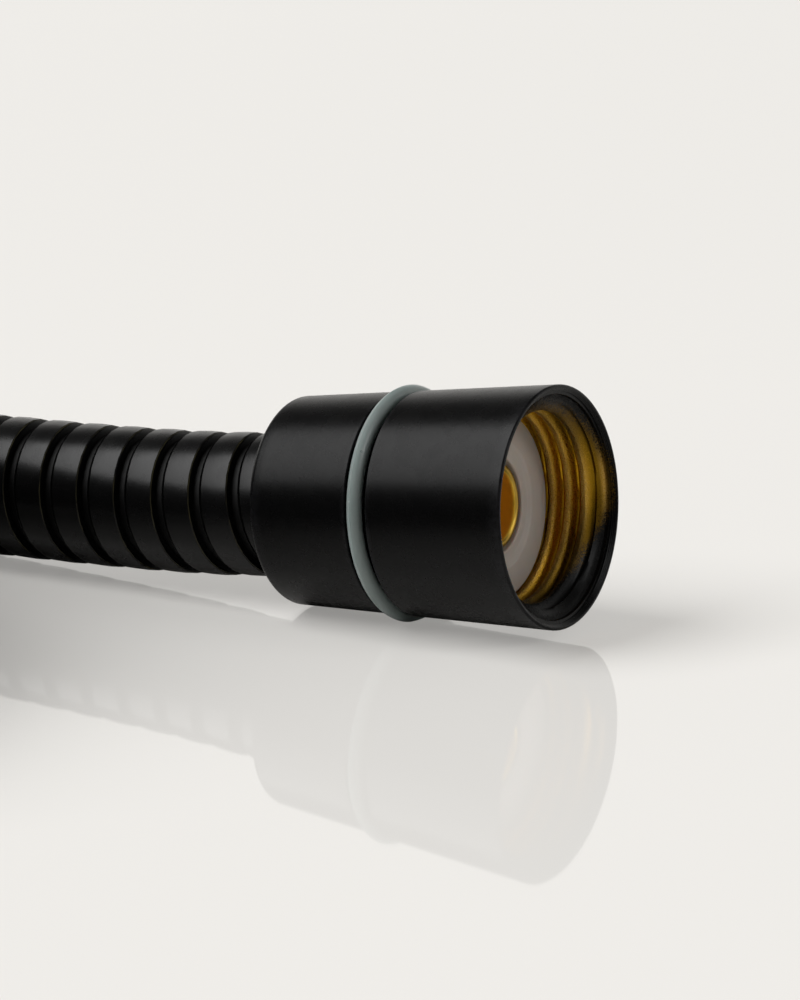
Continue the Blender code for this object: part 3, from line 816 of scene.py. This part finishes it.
def cubic_through(points, steps):
    """A smooth curve through points: each stretch is a cubic whose ends follow the line between its
    neighbours."""
    ends = np.vstack([2.0 * points[0] - points[1], points, 2.0 * points[-1] - points[-2]])
    before, a, b, after = (ends[k : len(points) - 1 + k, None, :] for k in range(4))
    t = (np.arange(steps) / steps)[None, :, None]
    curve = 0.5 * (
        2.0 * a
        + (b - before) * t
        + (2.0 * before - 5.0 * a + 4.0 * b - after) * t**2
        + (3.0 * (a - b) + after - before) * t**3
    )
    return np.vstack([curve.reshape(-1, 3), points[-1:]])


class Route:
    """The hose's centre line by the distance from its handset end, with a spare straight past its valve
    end."""

    def __init__(self):
        run = cubic_through(np.array(RUN_POINTS_MM) * MM, 12)
        step = math.degrees(ROUTE_STEP / COIL_OUTER_TURN)
        degrees = np.linspace(*COIL_DEG, round((COIL_DEG[1] - COIL_DEG[0]) / step) + 1)
        last = math.radians(COIL_DEG[1])
        ahead = np.array((-math.sin(last), math.cos(last), 0.0))
        turns = turn_points(degrees)
        straight = turns[-1] + np.outer(np.linspace(0.0, TAIL_STRAIGHT, 40)[1:], ahead)
        self.points = np.vstack([run[:-1], turns, straight, straight[-1:] + TAIL_SPARE * ahead])
        self.lengths = outline_lengths(self.points)
        self.run_length = self.lengths[len(run) - 1]
        self.length = self.lengths[-2]

    def centre(self, distance):
        return np.stack([np.interp(distance, self.lengths, self.points[:, k]) for k in range(3)], axis=-1)

    def frames(self, distance):
        """The way ahead, as the line between two points a millimetre to either side, and side and up across
        it."""
        ahead = self.centre(distance + MM) - self.centre(np.maximum(distance - MM, 0.0))
        ahead /= np.linalg.norm(ahead, axis=-1, keepdims=True)
        side = np.cross(ahead, (0.0, 0.0, 1.0))
        side /= np.linalg.norm(side, axis=-1, keepdims=True)
        return side, np.cross(side, ahead)


# One pitch of the strip's profile, in order away from the nut: the distance from the band's sharp edge and
# the radius, in millimetres, on a hose whose flat is at HOSE_RADIUS. It runs from the rolled lip down the
# groove's wall, along its floor and up to the edge.
STRIP_PROFILE_MM = (
    (-1.62, 7.25),
    (-1.53, 6.98),
    (-1.40, 7.19),
    (-1.20, 7.02),
    (-1.10, 6.38),
    (-0.05, 6.38),
    (0.0, 7.14),
    (0.12, 7.25),
    (1.5, 7.30),
)


def strip_surface(route, strip, back_at):
    """The strip's profile carried along a helix on the route: at turn t the point of the profile at offset
    o lies at the distance first edge + pitch t + o, at the angle -360 t degrees from the top, and the last
    point of one turn joins the first of the next. The last turn and the fans that close both ends lie
    inside the fittings."""
    offsets, radii = np.array(STRIP_PROFILE_MM).T * MM
    first = back_at + strip.first_groove
    start = math.ceil((-first - offsets[0]) / strip.pitch * STRIP_SIDES)
    end = math.floor((route.length + strip.pitch - first - offsets[-1]) / strip.pitch * STRIP_SIDES)
    turns = np.arange(start, end + 1) / STRIP_SIDES
    distance = first + strip.pitch * turns[:, None] + offsets[None, :]
    side, up = route.frames(distance)
    angle = -TURN * np.broadcast_to(turns[:, None], distance.shape)
    across = np.cos(angle)[..., None] * up - np.sin(angle)[..., None] * side
    scaled = radii * (strip.radius / HOSE_RADIUS)
    flat = (route.centre(distance) + scaled[None, :, None] * across).reshape(-1, 3)
    numbers = np.arange(distance.size).reshape(distance.shape)
    joined = numbers[STRIP_SIDES:, :1]
    share = (offsets - offsets[0]) / strip.pitch
    quads, corners = [], []
    for left, right, y_left, y_right in (
        (numbers[:, :-1], numbers[:, 1:], share[:-1], share[1:]),
        (numbers[: len(joined), -1:], joined, share[-1:], np.ones(1)),
    ):
        quads.append(np.stack([left[:-1], right[:-1], right[1:], left[1:]], axis=-1).reshape(-1, 4))
        x = np.broadcast_to(turns[: len(left), None], left.shape)
        near, far = (np.stack([x, np.broadcast_to(y, left.shape)], axis=-1) for y in (y_left, y_right))
        corners.append(np.stack([near[:-1], far[:-1], far[1:], near[1:]], axis=2).reshape(-1, 4, 2))
    rims = [
        np.concatenate([numbers[: STRIP_SIDES + 1, 0], numbers[0, :0:-1]]),
        np.concatenate([numbers[-STRIP_SIDES - 1 :, -1], numbers[-1, -2::-1]])[::-1],
    ]
    fans = [
        np.stack([rim, np.roll(rim, -1), np.full(len(rim), len(flat) + k)], axis=-1)
        for k, rim in enumerate(rims)
    ]
    points = np.vstack([flat, *(flat[rim].mean(axis=0) for rim in rims)])
    quads, corners, fans = (np.concatenate(parts) for parts in (quads, corners, fans))
    return mesh_piece("strip_hose", points, quads, corners, coated_strip(strip), triangles=fans)


# The nuts


def thread_radius(stations, angles, nuts):
    """Radius and crest share of the threaded bore, a right-hand V with flat crests: the distance past the
    nearest crest's flat, times the slope of its flanks, eased at the crest and at the root."""
    crest = nuts.first_crest + nuts.thread_pitch * (angles / TURN - 0.25)
    turns = (stations - crest) / nuts.thread_pitch
    sharp = THREAD_SLOPE * (nuts.thread_pitch * np.abs(turns - np.round(turns)) - THREAD_FLAT)
    raised = 0.5 * (sharp + np.sqrt(sharp**2 + CREST_EASE**2))
    rooted = 0.5 * (raised + THREAD_DEPTH - np.sqrt((raised - THREAD_DEPTH) ** 2 + ROOT_EASE**2))
    return nuts.thread_radius + rooted, (1.0 - np.clip(rooted / THREAD_DEPTH, 0.0, 1.0)) ** 3


def bare_share(stations, angles, length):
    """How bare the bore is of the lacquer's spray, from 0 at an opening to 1 where the spray stops, and how
    much of its thin mist lies past that. Both reach further in on the side that was turned to the spray."""
    middle = np.interp(np.degrees(angles), SPRAY_DEG, SPRAY_REACH_MM) * MM
    past = np.minimum(stations - middle, length - stations - SPRAY_BEHIND)
    return np.clip(0.5 + past / SPRAY_FADE, 0.0, 1.0), np.clip(1.0 - (past - MIST_FROM) / MIST_FADE, 0.0, 1.0)


def bore_rows(front, length, nuts, angles):
    """The inside of a nut from its back face to its mouth, as arrays (rows, sides): stations, radii and crest
    share. A cone cuts the first turn of the thread, and on it the crest share is highest at its front, the
    land, as a painted highlight. In front of it lie a short recess and a rim with turned ridges."""
    back = line(
        (length, REAR_BORE + REAR_BEVEL),
        (length - REAR_BEVEL, REAR_BORE),
        (SHOULDER_AT + SHOULDER_BEVEL, REAR_BORE),
        (SHOULDER_AT, REAR_BORE - SHOULDER_BEVEL),
        (SHOULDER_AT, nuts.thread_radius),
    )
    count = round((SHOULDER_AT - MOUTH_BORE_DEPTH) / nuts.thread_pitch * THREAD_ROWS_A_PITCH)
    thread_end = SHOULDER_AT - THREAD_RELIEF
    stations = np.linspace(thread_end, MOUTH_BORE_DEPTH, count)[:, None]
    thread, crest = thread_radius(stations, angles[None, :], nuts)
    cone = MOUTH_BORE - MOUTH_CONE_STEP - MOUTH_CONE_SLOPE * (stations - MOUTH_BORE_DEPTH)
    fade = np.clip((thread_end - stations) / THREAD_FADE, 0.0, 1.0)
    thread = nuts.thread_radius + (thread - nuts.thread_radius) * fade
    # Painted highlight on the land: a crest share that falls away from its front
    land = np.clip(LAND_HIGHLIGHT_PEAK - (stations - MOUTH_BORE_DEPTH) / LAND_HIGHLIGHT_FADE, LAND_HIGHLIGHT_LEAST, 1.0)
    ridge = np.arange(2 * RIM_RIDGES)
    share = ridge / (2 * RIM_RIDGES - 1)
    rim_stations = RIM_AT + share * (front + RIM_SHORT - RIM_AT)
    rim_radii = MOUTH_BORE + RIM_STEP + share * RIM_WIDTH + np.where(ridge % 2 == 0, *RIDGE_HEIGHTS)
    mouth = np.vstack([RECESS, np.stack([rim_stations, rim_radii], axis=-1)])
    parts = [
        (back[:, :1], back[:, 1:], 0.5),
        (stations, np.maximum(thread, cone), np.where(cone > thread, land, crest * fade)),
        (mouth[:, :1], mouth[:, 1:], 0.1),
    ]
    return [
        np.vstack([np.broadcast_to(part[k], (len(part[0]), len(angles))) for part in parts]) for k in range(3)
    ]


def nut_piece(name, fitting, front, length, outside, nuts):
    """A nut from its outside rows (stations, radii and edge share, each an array of rows by sides) and its
    bore. Each point also carries how bare its brass is and how much mist lies on it, which is rubbed off
    the crests on one side, how much of a crest it is, and how far along the outline."""
    angles = TURN * np.arange(NUT_SIDES) / NUT_SIDES
    stations, radii, crest = bore_rows(front, length, nuts, angles)
    all_stations, all_radii = np.vstack([outside[0], stations]), np.vstack([outside[1], radii])
    along = outline_lengths(np.stack([all_stations[:, 0], all_radii[:, 0]], axis=-1))
    bare, mist = bare_share(stations, angles[None, :], length)
    rubbed = np.exp(-(((np.degrees(angles) - RUBBED_DEG) / RUBBED_SPREAD_DEG) ** 2))[None, :] * crest
    nothing = np.zeros_like(outside[0])
    values = {
        "edge": np.vstack([outside[2], np.zeros_like(stations)]),
        "bare": np.vstack([nothing, bare]),
        "mist": np.vstack([nothing, mist * (1.0 - RUBBED_SHARE * rubbed)]),
        "crest": np.vstack([nothing, crest]),
        "along": np.repeat(along[:, None], NUT_SIDES, axis=1),
    }
    points = fitting.turned(all_stations, all_radii, angles[None, :])
    quads, corners = ring_quads(*all_stations.shape)
    return mesh_piece(name, points.reshape(-1, 3), quads, corners, lacquered_brass(nuts), values)


def cone_at(station):
    return CONE_MOUTH_RADIUS - CONE_NARROWING * station


def on_cone(*stations):
    return line(*((station, cone_at(station)) for station in stations))


def conical_outside():
    """The cone with its rounded mouth and back edges and the square groove of the cushion ring."""
    normal = math.degrees(math.atan2(1.0, CONE_NARROWING))
    front, back, edge = CUSHION_AT - GROOVE_HALF_WIDTH, CUSHION_AT + GROOVE_HALF_WIDTH, GROOVE_EDGE
    mouth_at, back_at = CONE_FRONT + CONE_MOUTH_ROUND, CONE_END - CONE_BACK_ROUND
    mouth_centre = (mouth_at, cone_at(mouth_at) - CONE_MOUTH_ROUND * CONE_SLANT)
    back_centre = (back_at, cone_at(back_at) - CONE_BACK_ROUND * CONE_SLANT)
    parts = [
        (arc(mouth_centre, CONE_MOUTH_ROUND, 180.0, normal, 8), 1.0),
        (on_cone(CONE_PLAIN[0], front - GROOVE_PLAIN), 0.0),
        (line((front - edge, cone_at(front - edge)), (front, cone_at(front) - edge)), 1.0),
        (line((front, GROOVE_BOTTOM + edge), (front + edge, GROOVE_BOTTOM)), 0.0),
        (line((back - edge, GROOVE_BOTTOM), (back, GROOVE_BOTTOM + edge)), 0.0),
        (line((back, cone_at(back) - edge), (back + edge, cone_at(back + edge))), 1.0),
        (on_cone(back + GROOVE_PLAIN, CONE_PLAIN[1]), 0.0),
        (arc(back_centre, CONE_BACK_ROUND, normal, 0.0, 8), 0.6),
    ]
    rows = np.vstack([np.insert(outline, 2, share, axis=1) for outline, share in parts])
    return [np.repeat(rows[:, k : k + 1], NUT_SIDES, axis=1) for k in range(3)]


def hexagonal_outside():
    """A hexagon with a corner at the top and bottom: its flats lie at the apothem over the cosine of the
    angle from the flat's middle, and a cone and a cylinder cut its corners. The rows follow the line where
    cone and flat meet, and then the neck and the collar."""
    angles = TURN * np.arange(NUT_SIDES) / NUT_SIDES
    from_middle = np.mod(angles, TURN / 6.0) - TURN / 12.0
    flat = np.minimum(HEX_APOTHEM / np.cos(from_middle), HEX_TURNED_RADIUS)
    slope = (HEX_TURNED_RADIUS - HEX_FACE_RADIUS) / HEX_CHAMFER
    meets = (flat - HEX_FACE_RADIUS) / slope
    edge, face, plain = HEX_EDGE, HEX_FACE_RADIUS - 0.02 * MM, 0.9 * MM
    corner = (HEX_LENGTH + COLLAR_LENGTH - COLLAR_ROUND, COLLAR_RADIUS - COLLAR_ROUND)
    rows = [
        (0.0, HEX_RIM_RADIUS, 0.6),
        (0.0, face, 0.6),
        (meets - edge, flat - slope * edge, 0.7),
        (meets + edge, flat, 0.7),
        (meets + plain, flat, 0.0),
        (HEX_LENGTH - meets - plain, flat, 0.0),
        (HEX_LENGTH - meets - edge, flat, 0.7),
        (HEX_LENGTH - meets + edge, flat - slope * edge, 0.7),
        (HEX_LENGTH, face, 0.5),
        (HEX_LENGTH, COLLAR_RADIUS + 0.1 * MM, 0.0),
        (HEX_LENGTH + 0.1 * MM, COLLAR_RADIUS - NECK_DEPTH, 0.0),
        (NECK_END, COLLAR_RADIUS - NECK_DEPTH, 0.0),
        (NECK_END + NECK_DEPTH, COLLAR_RADIUS, 0.6),
    ]
    rows += [(station, radius, 0.5) for station, radius in arc(corner, COLLAR_ROUND, 90.0, 0.0, 8)]
    return [np.stack([np.broadcast_to(row[k], NUT_SIDES) for row in rows]) for k in range(3)]


# Soft parts and ties


def cushion_outline():
    """A round section that the groove squeezes narrower, with the thin seam of its mould on the outside."""
    angle = TURN * np.arange(CUSHION_SIDES) / CUSHION_SIDES
    seam = SEAM_HEIGHT * np.exp(-((np.mod(angle + math.pi, TURN) - math.pi) ** 2) / SEAM_SPREAD)
    stations = CUSHION_AT + CUSHION_SET_BACK + CUSHION_HALF_WIDTH * np.sin(angle)
    return np.stack([stations, CUSHION_RADIUS + (CUSHION_SECTION + seam) * np.cos(angle)], axis=-1)


def washer_outline():
    """A flat ring with rounded front edges, a soft step down at its middle and a square back."""
    outer, inner, step = 0.3 * MM, 0.2 * MM, WASHER_STEP_ROUND
    back = WASHER_AT + WASHER_THICKNESS
    return np.vstack(
        [
            arc((WASHER_AT + outer, WASHER_RADIUS - outer), outer, 90.0, 180.0, 6),
            arc((WASHER_AT + step, WASHER_STEP_RADIUS + 0.6 * MM), step, 180.0, 212.0, 4),
            arc((WASHER_AT + WASHER_STEP - step, WASHER_STEP_RADIUS - 0.5 * MM), step, 32.0, 0.0, 4),
            arc((WASHER_AT + WASHER_STEP + inner, WASHER_BORE + inner), inner, 180.0, 270.0, 4),
            line((back, WASHER_BORE), (back, WASHER_RADIUS)),
        ]
    )


def insert_outline():
    """The tube's rounded lip, its flange, and a stem with rings of barbs that rise slowly and drop at
    once."""
    lip, bevel, taper = (LIP_RADIUS - INSERT_BORE) / 2.0, 0.15 * MM, 0.3 * MM
    starts = STEM_END + BARB_PITCH * (np.arange(BARB_COUNT) - BARB_COUNT)
    barb = line((0.0, 0.0), (0.08 * MM, BARB_HEIGHT), (0.25 * MM, BARB_HEIGHT)) + (0.0, STEM_RADIUS)
    return np.vstack(
        [
            arc((LIP_AT + lip, INSERT_BORE + lip), lip, 270.0, 90.0, 10),
            line((FLANGE_AT, LIP_RADIUS), (FLANGE_AT, WASHER_RADIUS - bevel)),
            line((FLANGE_AT + bevel, WASHER_RADIUS), (FLANGE_BACK, WASHER_RADIUS)),
            line((FLANGE_BACK, STEM_RADIUS)),
            *(barb + (start, 0.0) for start in starts),
            line((STEM_END - taper, STEM_RADIUS), (STEM_END, STEM_RADIUS - taper), (STEM_END, INSERT_BORE)),
        ]
    )


def tie_path(offset):
    """A closed path round three hose sections, two below and one above, at an offset from them: an arc of
    120 degrees round each, joined by straight stretches. It starts low on the outside and goes up over the
    top."""
    radii = (COIL_OUTER_TURN, COIL_OUTER_TURN - COIL_PITCH / 2.0, COIL_OUTER_TURN - COIL_PITCH)
    upper = COIL_FLOOR_HEIGHT + COIL_PITCH * math.sin(math.radians(60.0))
    centres = zip(radii, (COIL_FLOOR_HEIGHT, upper, COIL_FLOOR_HEIGHT), strict=True)
    corners = [
        arc(centre, HOSE_RADIUS + offset, -90.0 + 120.0 * k, 30.0 + 120.0 * k, 12)
        for k, centre in enumerate(centres)
    ]
    path = np.vstack([*corners, corners[0][:1]])
    lengths = outline_lengths(path)
    wanted = np.linspace(0.0, lengths[-1], TIE_STEPS, endpoint=False)
    return np.stack([np.interp(wanted, lengths, path[:, k]) for k in range(2)], axis=-1)


def band_piece(name, path, degrees, closed, material):
    """A tie's flat band carried along a path (n, 2) of distances from the coil's middle and heights, which
    goes round anticlockwise: a section with rounded edges, set off outwards, and turned to its place on the
    coil."""
    ahead = np.roll(path, -1, axis=0) - np.roll(path, 1, axis=0) if closed else np.gradient(path, axis=0)
    ahead /= np.linalg.norm(ahead, axis=1, keepdims=True)
    outward = np.stack([ahead[:, 1], -ahead[:, 0]], axis=-1)
    half, edge = TIE_WIDTH / 2.0, TIE_THICKNESS * 0.4
    corner = arc((0.0, 0.0), edge, 0.0, 90.0, 3)
    section = np.vstack(
        [
            corner + (half - edge, TIE_THICKNESS - edge),
            corner[::-1] * (-1.0, 1.0) + (edge - half, TIE_THICKNESS - edge),
            corner * (-1.0, -1.0) + (edge - half, edge),
            corner[::-1] * (1.0, -1.0) + (half - edge, edge),
        ]
    )
    angle = math.radians(degrees)
    out, along = np.array(((math.cos(angle), math.sin(angle)), (-math.sin(angle), math.cos(angle))))
    place = path[:, None, :] + outward[:, None, :] * section[None, :, 1:]
    flat = place[..., :1] * out + section[None, :, :1] * along
    grid = np.concatenate([flat, place[..., 1:]], axis=-1) + COIL_CENTRE
    rows, columns = grid.shape[:2]
    points = grid.reshape(-1, 3)
    quads, corners = ring_quads(rows, columns)
    if closed:
        return mesh_piece(name, points, quads, corners, material)
    kept, ring = (rows - 1) * columns, np.arange(columns)
    ends = [(np.roll(ring, -1), ring), (ring + kept, np.roll(ring, -1) + kept)]
    fans = [np.stack([*pair, np.full(columns, rows * columns + k)], axis=-1) for k, pair in enumerate(ends)]
    points = np.vstack([points, grid[0].mean(axis=0), grid[-1].mean(axis=0)])
    return mesh_piece(name, points, quads[:kept], corners[:kept], material, triangles=np.concatenate(fans))


# Operators


def settings():
    return bpy.context.scene.shower_hose


def settle(piece, body, slot, *nodes):
    """Rides a finished piece on its body and hides the solids that it stands for. Its slot is not used."""
    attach(piece, body)
    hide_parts(*nodes)


class SHOWERHOSE_OT_stage(bpy.types.Operator):
    """Make the floor, the even light, the lamps and the camera"""

    bl_idname = "shower_hose.stage"
    bl_label = "Stage"

    def execute(self, context):
        context.scene.view_settings.view_transform = "Standard"
        self.make_camera(context.scene)
        self.make_world(context.scene, settings().stage)
        self.make_floor(settings().stage)
        self.make_lamps(settings().stage)
        return {"FINISHED"}

    def make_camera(self, scene):
        """The camera looks along its yaw, counted from +Y towards +X, and its pitch down, rolled about
        that."""
        camera = bpy.data.cameras.new("camera")
        camera.lens, camera.sensor_width = CAMERA_LENS_MM, CAMERA_SENSOR_MM
        camera.clip_start, camera.clip_end = 0.01, 20.0
        level = math.cos(CAMERA_PITCH)
        forward = np.array(
            (math.sin(CAMERA_YAW) * level, math.cos(CAMERA_YAW) * level, -math.sin(CAMERA_PITCH))
        )
        right = np.array((math.cos(CAMERA_YAW), -math.sin(CAMERA_YAW), 0.0))
        up = np.cross(right, forward)
        cos, sin = math.cos(CAMERA_ROLL), math.sin(CAMERA_ROLL)
        turned = Matrix([right * cos + up * sin, up * cos - right * sin, -forward]).transposed()
        scene.camera = placed("camera", camera)
        scene.camera.matrix_world = Matrix.Translation(Vector(CAMERA_PLACE)) @ turned.to_4x4()

    def make_world(self, scene, stage):
        """The camera and clear parts see the pale background. Else it is a pale wall behind the object, as
        high as the mirror in the floor shows, and a dim room, which is half as bright above the wall."""
        world = bpy.data.worlds.new("studio")
        world.use_nodes = True
        scene.world = world
        adder = Nodes(world.node_tree)
        shade = world.node_tree.nodes["Background"].inputs
        rays = adder.add("LightPath").outputs
        seen = adder.math("ADD", rays["Is Camera Ray"], rays["Is Transmission Ray"], clamp=True)
        way = adder.add("SeparateXYZ", {0: adder.add("TexCoord").outputs["Generated"]}).outputs
        behind = adder.span(way[1], -0.15, 0.25)
        wall = adder.math("MULTIPLY", behind, adder.span(way[2], 0.3, 0.6, 1.0, 0.0))
        plain = adder.math("MAXIMUM", seen, wall)
        room = adder.math("MULTIPLY", adder.math("MULTIPLY_ADD", behind, -0.5, 1.0), stage.ceiling_strength)
        above = adder.math("SUBTRACT", 1.0, room)
        adder.feed(shade["Color"], stage.backdrop_colour)
        adder.feed(shade["Strength"], adder.math("MULTIPLY_ADD", plain, above, room))

    def make_floor(self, stage):
        """A round pale floor, a grid of rings and spokes. It mirrors faintly, by the Fresnel term of its
        thin gloss. To the camera a share of it is its plain colour, and the rest is lit and keeps the
        object's shadow."""
        look, black = Surface("pale_glossy_floor", IOR=FLOOR_IOR, Roughness=0.03), (0.0, 0.0, 0.0)
        plain = look.math("MULTIPLY", look.add("LightPath").outputs["Is Camera Ray"], stage.plain_share)
        unlit = look.math("SUBTRACT", 1.0, look.add("Fresnel", {"IOR": FLOOR_IOR}).outputs[0])
        shown = look.math("MULTIPLY", plain, unlit)
        look.feed(look.shader["Base Color"], look.mix(plain, stage.backdrop_colour, black))
        look.feed(look.shader["Emission Color"], look.mix(shown, black, stage.backdrop_colour))
        look.feed(look.shader["Emission Strength"], 1.0)
        angles = TURN * np.arange(FLOOR_SIDES) / FLOOR_SIDES
        directions = np.stack([np.cos(angles), np.sin(angles), np.zeros(FLOOR_SIDES)], axis=-1)
        points = FLOOR_RADII[:, None, None] * directions
        quads = ring_quads(*points.shape[:2])[0][: (len(FLOOR_RADII) - 1) * FLOOR_SIDES, ::-1]
        mesh = bpy.data.meshes.new("floor")
        mesh.from_pydata(points.reshape(-1, 3).tolist(), [], quads.tolist())
        mesh.materials.append(look.material)
        placed("floor", mesh)

    def make_lamps(self, stage):
        """The softboxes, far off: a tall one over the camera's left, and a small one on the mouth's side."""
        for name, (way, tall, size, distance, share) in LAMPS.items():
            lamp = bpy.data.lights.new(name, "AREA")
            lamp.shape, lamp.size, lamp.size_y = "RECTANGLE", *size
            lamp.energy = stage.softbox_power * share
            back = Vector(way).normalized()
            across = Vector(tall).cross(back).normalized()
            turned = Matrix((across, back.cross(across), back)).transposed().to_4x4()
            placed(name, lamp).matrix_world = Matrix.Translation(back * distance) @ turned


class SHOWERHOSE_OT_conical_nut(bpy.types.Operator):
    """Make the threaded conical nut of the handset end"""

    bl_idname = "shower_hose.conical_nut"
    bl_label = "Conical Nut"

    def execute(self, context):
        nut = nut_piece("conical_nut", handset(), CONE_FRONT, CONE_END, conical_outside(), settings().nuts)
        settle(nut, "handset_nut", "black_lacquer", "handset_conical_nut")
        return {"FINISHED"}


class SHOWERHOSE_OT_hexagonal_nut(bpy.types.Operator):
    """Make the threaded hexagonal nut of the valve end"""

    bl_idname = "shower_hose.hexagonal_nut"
    bl_label = "Hexagonal Nut"

    def execute(self, context):
        length = HEX_LENGTH + COLLAR_LENGTH
        nut = nut_piece("hexagonal_nut", valve(), 0.0, length, hexagonal_outside(), settings().nuts)
        settle(nut, "valve_nut", "black_lacquer", "valve_hexagonal_nut")
        return {"FINISHED"}


class SHOWERHOSE_OT_cushion_ring(bpy.types.Operator):
    """Make the silicone ring in the conical nut's groove"""

    bl_idname = "shower_hose.cushion_ring"
    bl_label = "Cushion Ring"

    def execute(self, context):
        silicone = clear_silicone(settings().soft)
        ring = lathe_piece("cushion_ring", handset(), cushion_outline(), NUT_SIDES, silicone)
        settle(ring, "handset_nut", "silicone", "handset_cushion_ring")
        return {"FINISHED"}


class SHOWERHOSE_OT_seals(bpy.types.Operator):
    """Make the sealing washer and the barbed insert of both ends"""

    bl_idname = "shower_hose.seals"
    bl_label = "Washers and Inserts"

    def execute(self, context):
        brass = turned_brass("turned_brass", settings().nuts.insert_lit_colour)
        parts = {
            "sealing_washer": (washer_outline(), washer_rubber(settings().soft), "washer"),
            "barbed_insert": (insert_outline(), brass, "brass"),
        }
        for end, fitting in (("handset", handset()), ("valve", valve())):
            for part, (outline, material, slot) in parts.items():
                inside = (outline[:, 1] < INSERT_BORE + 0.1 * MM).astype(float)
                values = {"along": outline_lengths(outline), "inside": inside}
                piece = lathe_piece(f"{end}_{part}_fine", fitting, outline, SEAL_SIDES, material, values)
                settle(piece, "hose", slot, f"{end}_{part}")
        return {"FINISHED"}


class SHOWERHOSE_OT_inner_parts(bpy.types.Operator):
    """Finish the solids inside the nuts: liner ends, slip rings and crimp ferrules"""

    bl_idname = "shower_hose.inner_parts"
    bl_label = "Inner Parts"

    def execute(self, context):
        finishes = {
            "liner_end": plain_moulded("black_liner_rubber", (0.03, 0.03, 0.033), 0.6, 0.00035),
            "slip_ring": plain_moulded("white_slip_nylon", (0.75, 0.75, 0.72), 0.45, 0.0003),
            "crimp_ferrule": turned_brass("crimped_brass", settings().nuts.brass_colour, lined=False),
        }
        for end in ("handset", "valve"):
            for part, material in finishes.items():
                mesh = frame["nodes"][f"{end}_{part}"].data
                mesh.materials.clear()
                mesh.materials.append(material)
        return {"FINISHED"}


class SHOWERHOSE_OT_ties(bpy.types.Operator):
    """Make the woven ties round the coil, each with its end lapped over itself"""

    bl_idname = "shower_hose.ties"
    bl_label = "Ties"

    def execute(self, context):
        material = woven_strap(settings().soft)
        path = tie_path(TIE_SLACK)
        lap = tie_path(TIE_SLACK + TIE_THICKNESS + LAP_GAP)[TIE_LAP_STEPS]
        for index, degrees in enumerate(TIE_DEG, start=1):
            tie = band_piece(f"tie_{index}", path, degrees, True, material)
            settle(tie, "hose", "tie", f"coil_tie_{index}")
            end = band_piece(f"tie_end_{index}", lap, degrees, False, material)
            settle(end, "hose", "tie")
        return {"FINISHED"}


class SHOWERHOSE_OT_strip_hose(bpy.types.Operator):
    bl_idname = "shower_hose.strip_hose"
    bl_label = "Strip Hose"

    def execute(self, context):
        strip, route, end = settings().strip, Route(), handset()
        if abs(route.length - strip.length) > 2.0 * MM:
            raise RuntimeError(f"the route is {route.length:.4f} m long, and not {strip.length:.4f} m")
        behind = (end.mouth - route.points[:400]) @ end.forward
        back_at = float(np.interp(CONE_LENGTH, behind, route.lengths[:400]))
        hose = strip_surface(route, strip, back_at)
        settle(hose, "hose", "steel_strip", "hose_run", "hose_coil", "hose_tail")
        run = np.linspace(0.0, route.run_length, 19)
        coil = np.linspace(route.run_length, route.length - TAIL_STRAIGHT, 64)[1:]
        tail = np.linspace(route.length - TAIL_STRAIGHT, route.length, 5)[1:]
        names = ["hexagonal_nut", "valve_sealing_washer_fine", "valve_barbed_insert_fine"]
        names += ["valve_liner_end", "valve_slip_ring", "valve_crimp_ferrule"]
        names += [f"tie_{k}" for k in (1, 2, 3)] + [f"tie_end_{k}" for k in (1, 2, 3)]
        route.centre(np.array([back_at]))[0]
        route.centre(np.concatenate([run, coil, tail]))
        return {"FINISHED"}


class SHOWERHOSE_PT_panel(bpy.types.Panel):
    """Settings and steps of the shower hose"""

    bl_idname = "SHOWERHOSE_PT_panel"
    bl_label = "Shower Hose"
    bl_space_type = "VIEW_3D"
    bl_region_type = "UI"
    bl_category = "Shower Hose"

    def draw(self, context):
        groups = {"Strip": "strip", "Nuts": "nuts", "Soft Parts": "soft", "Stage": "stage"}
        for title, group in groups.items():
            column = self.layout.box().column()
            column.label(text=title)
            values = getattr(settings(), group)
            for label in type(values).__annotations__:
                column.prop(values, label)
        for step in OPERATORS:
            self.layout.operator(step.bl_idname)


GROUPS = (StripSettings, NutSettings, SoftSettings, StageSettings, HoseSettings)
OPERATORS = (
    SHOWERHOSE_OT_stage,
    SHOWERHOSE_OT_conical_nut,
    SHOWERHOSE_OT_cushion_ring,
    SHOWERHOSE_OT_hexagonal_nut,
    SHOWERHOSE_OT_seals,
    SHOWERHOSE_OT_inner_parts,
    SHOWERHOSE_OT_ties,
    SHOWERHOSE_OT_strip_hose,
)


def register():
    for kind in (*GROUPS, *OPERATORS, SHOWERHOSE_PT_panel):
        bpy.utils.register_class(kind)
    bpy.types.Scene.shower_hose = PointerProperty(type=HoseSettings)


def unregister():
    del bpy.types.Scene.shower_hose
    for kind in reversed((*GROUPS, *OPERATORS, SHOWERHOSE_PT_panel)):
        bpy.utils.unregister_class(kind)


def main():
    register()
    for step in OPERATORS:
        family, name = step.bl_idname.split(".")
        getattr(getattr(bpy.ops, family), name)()


if __name__ == "__main__":
    main()
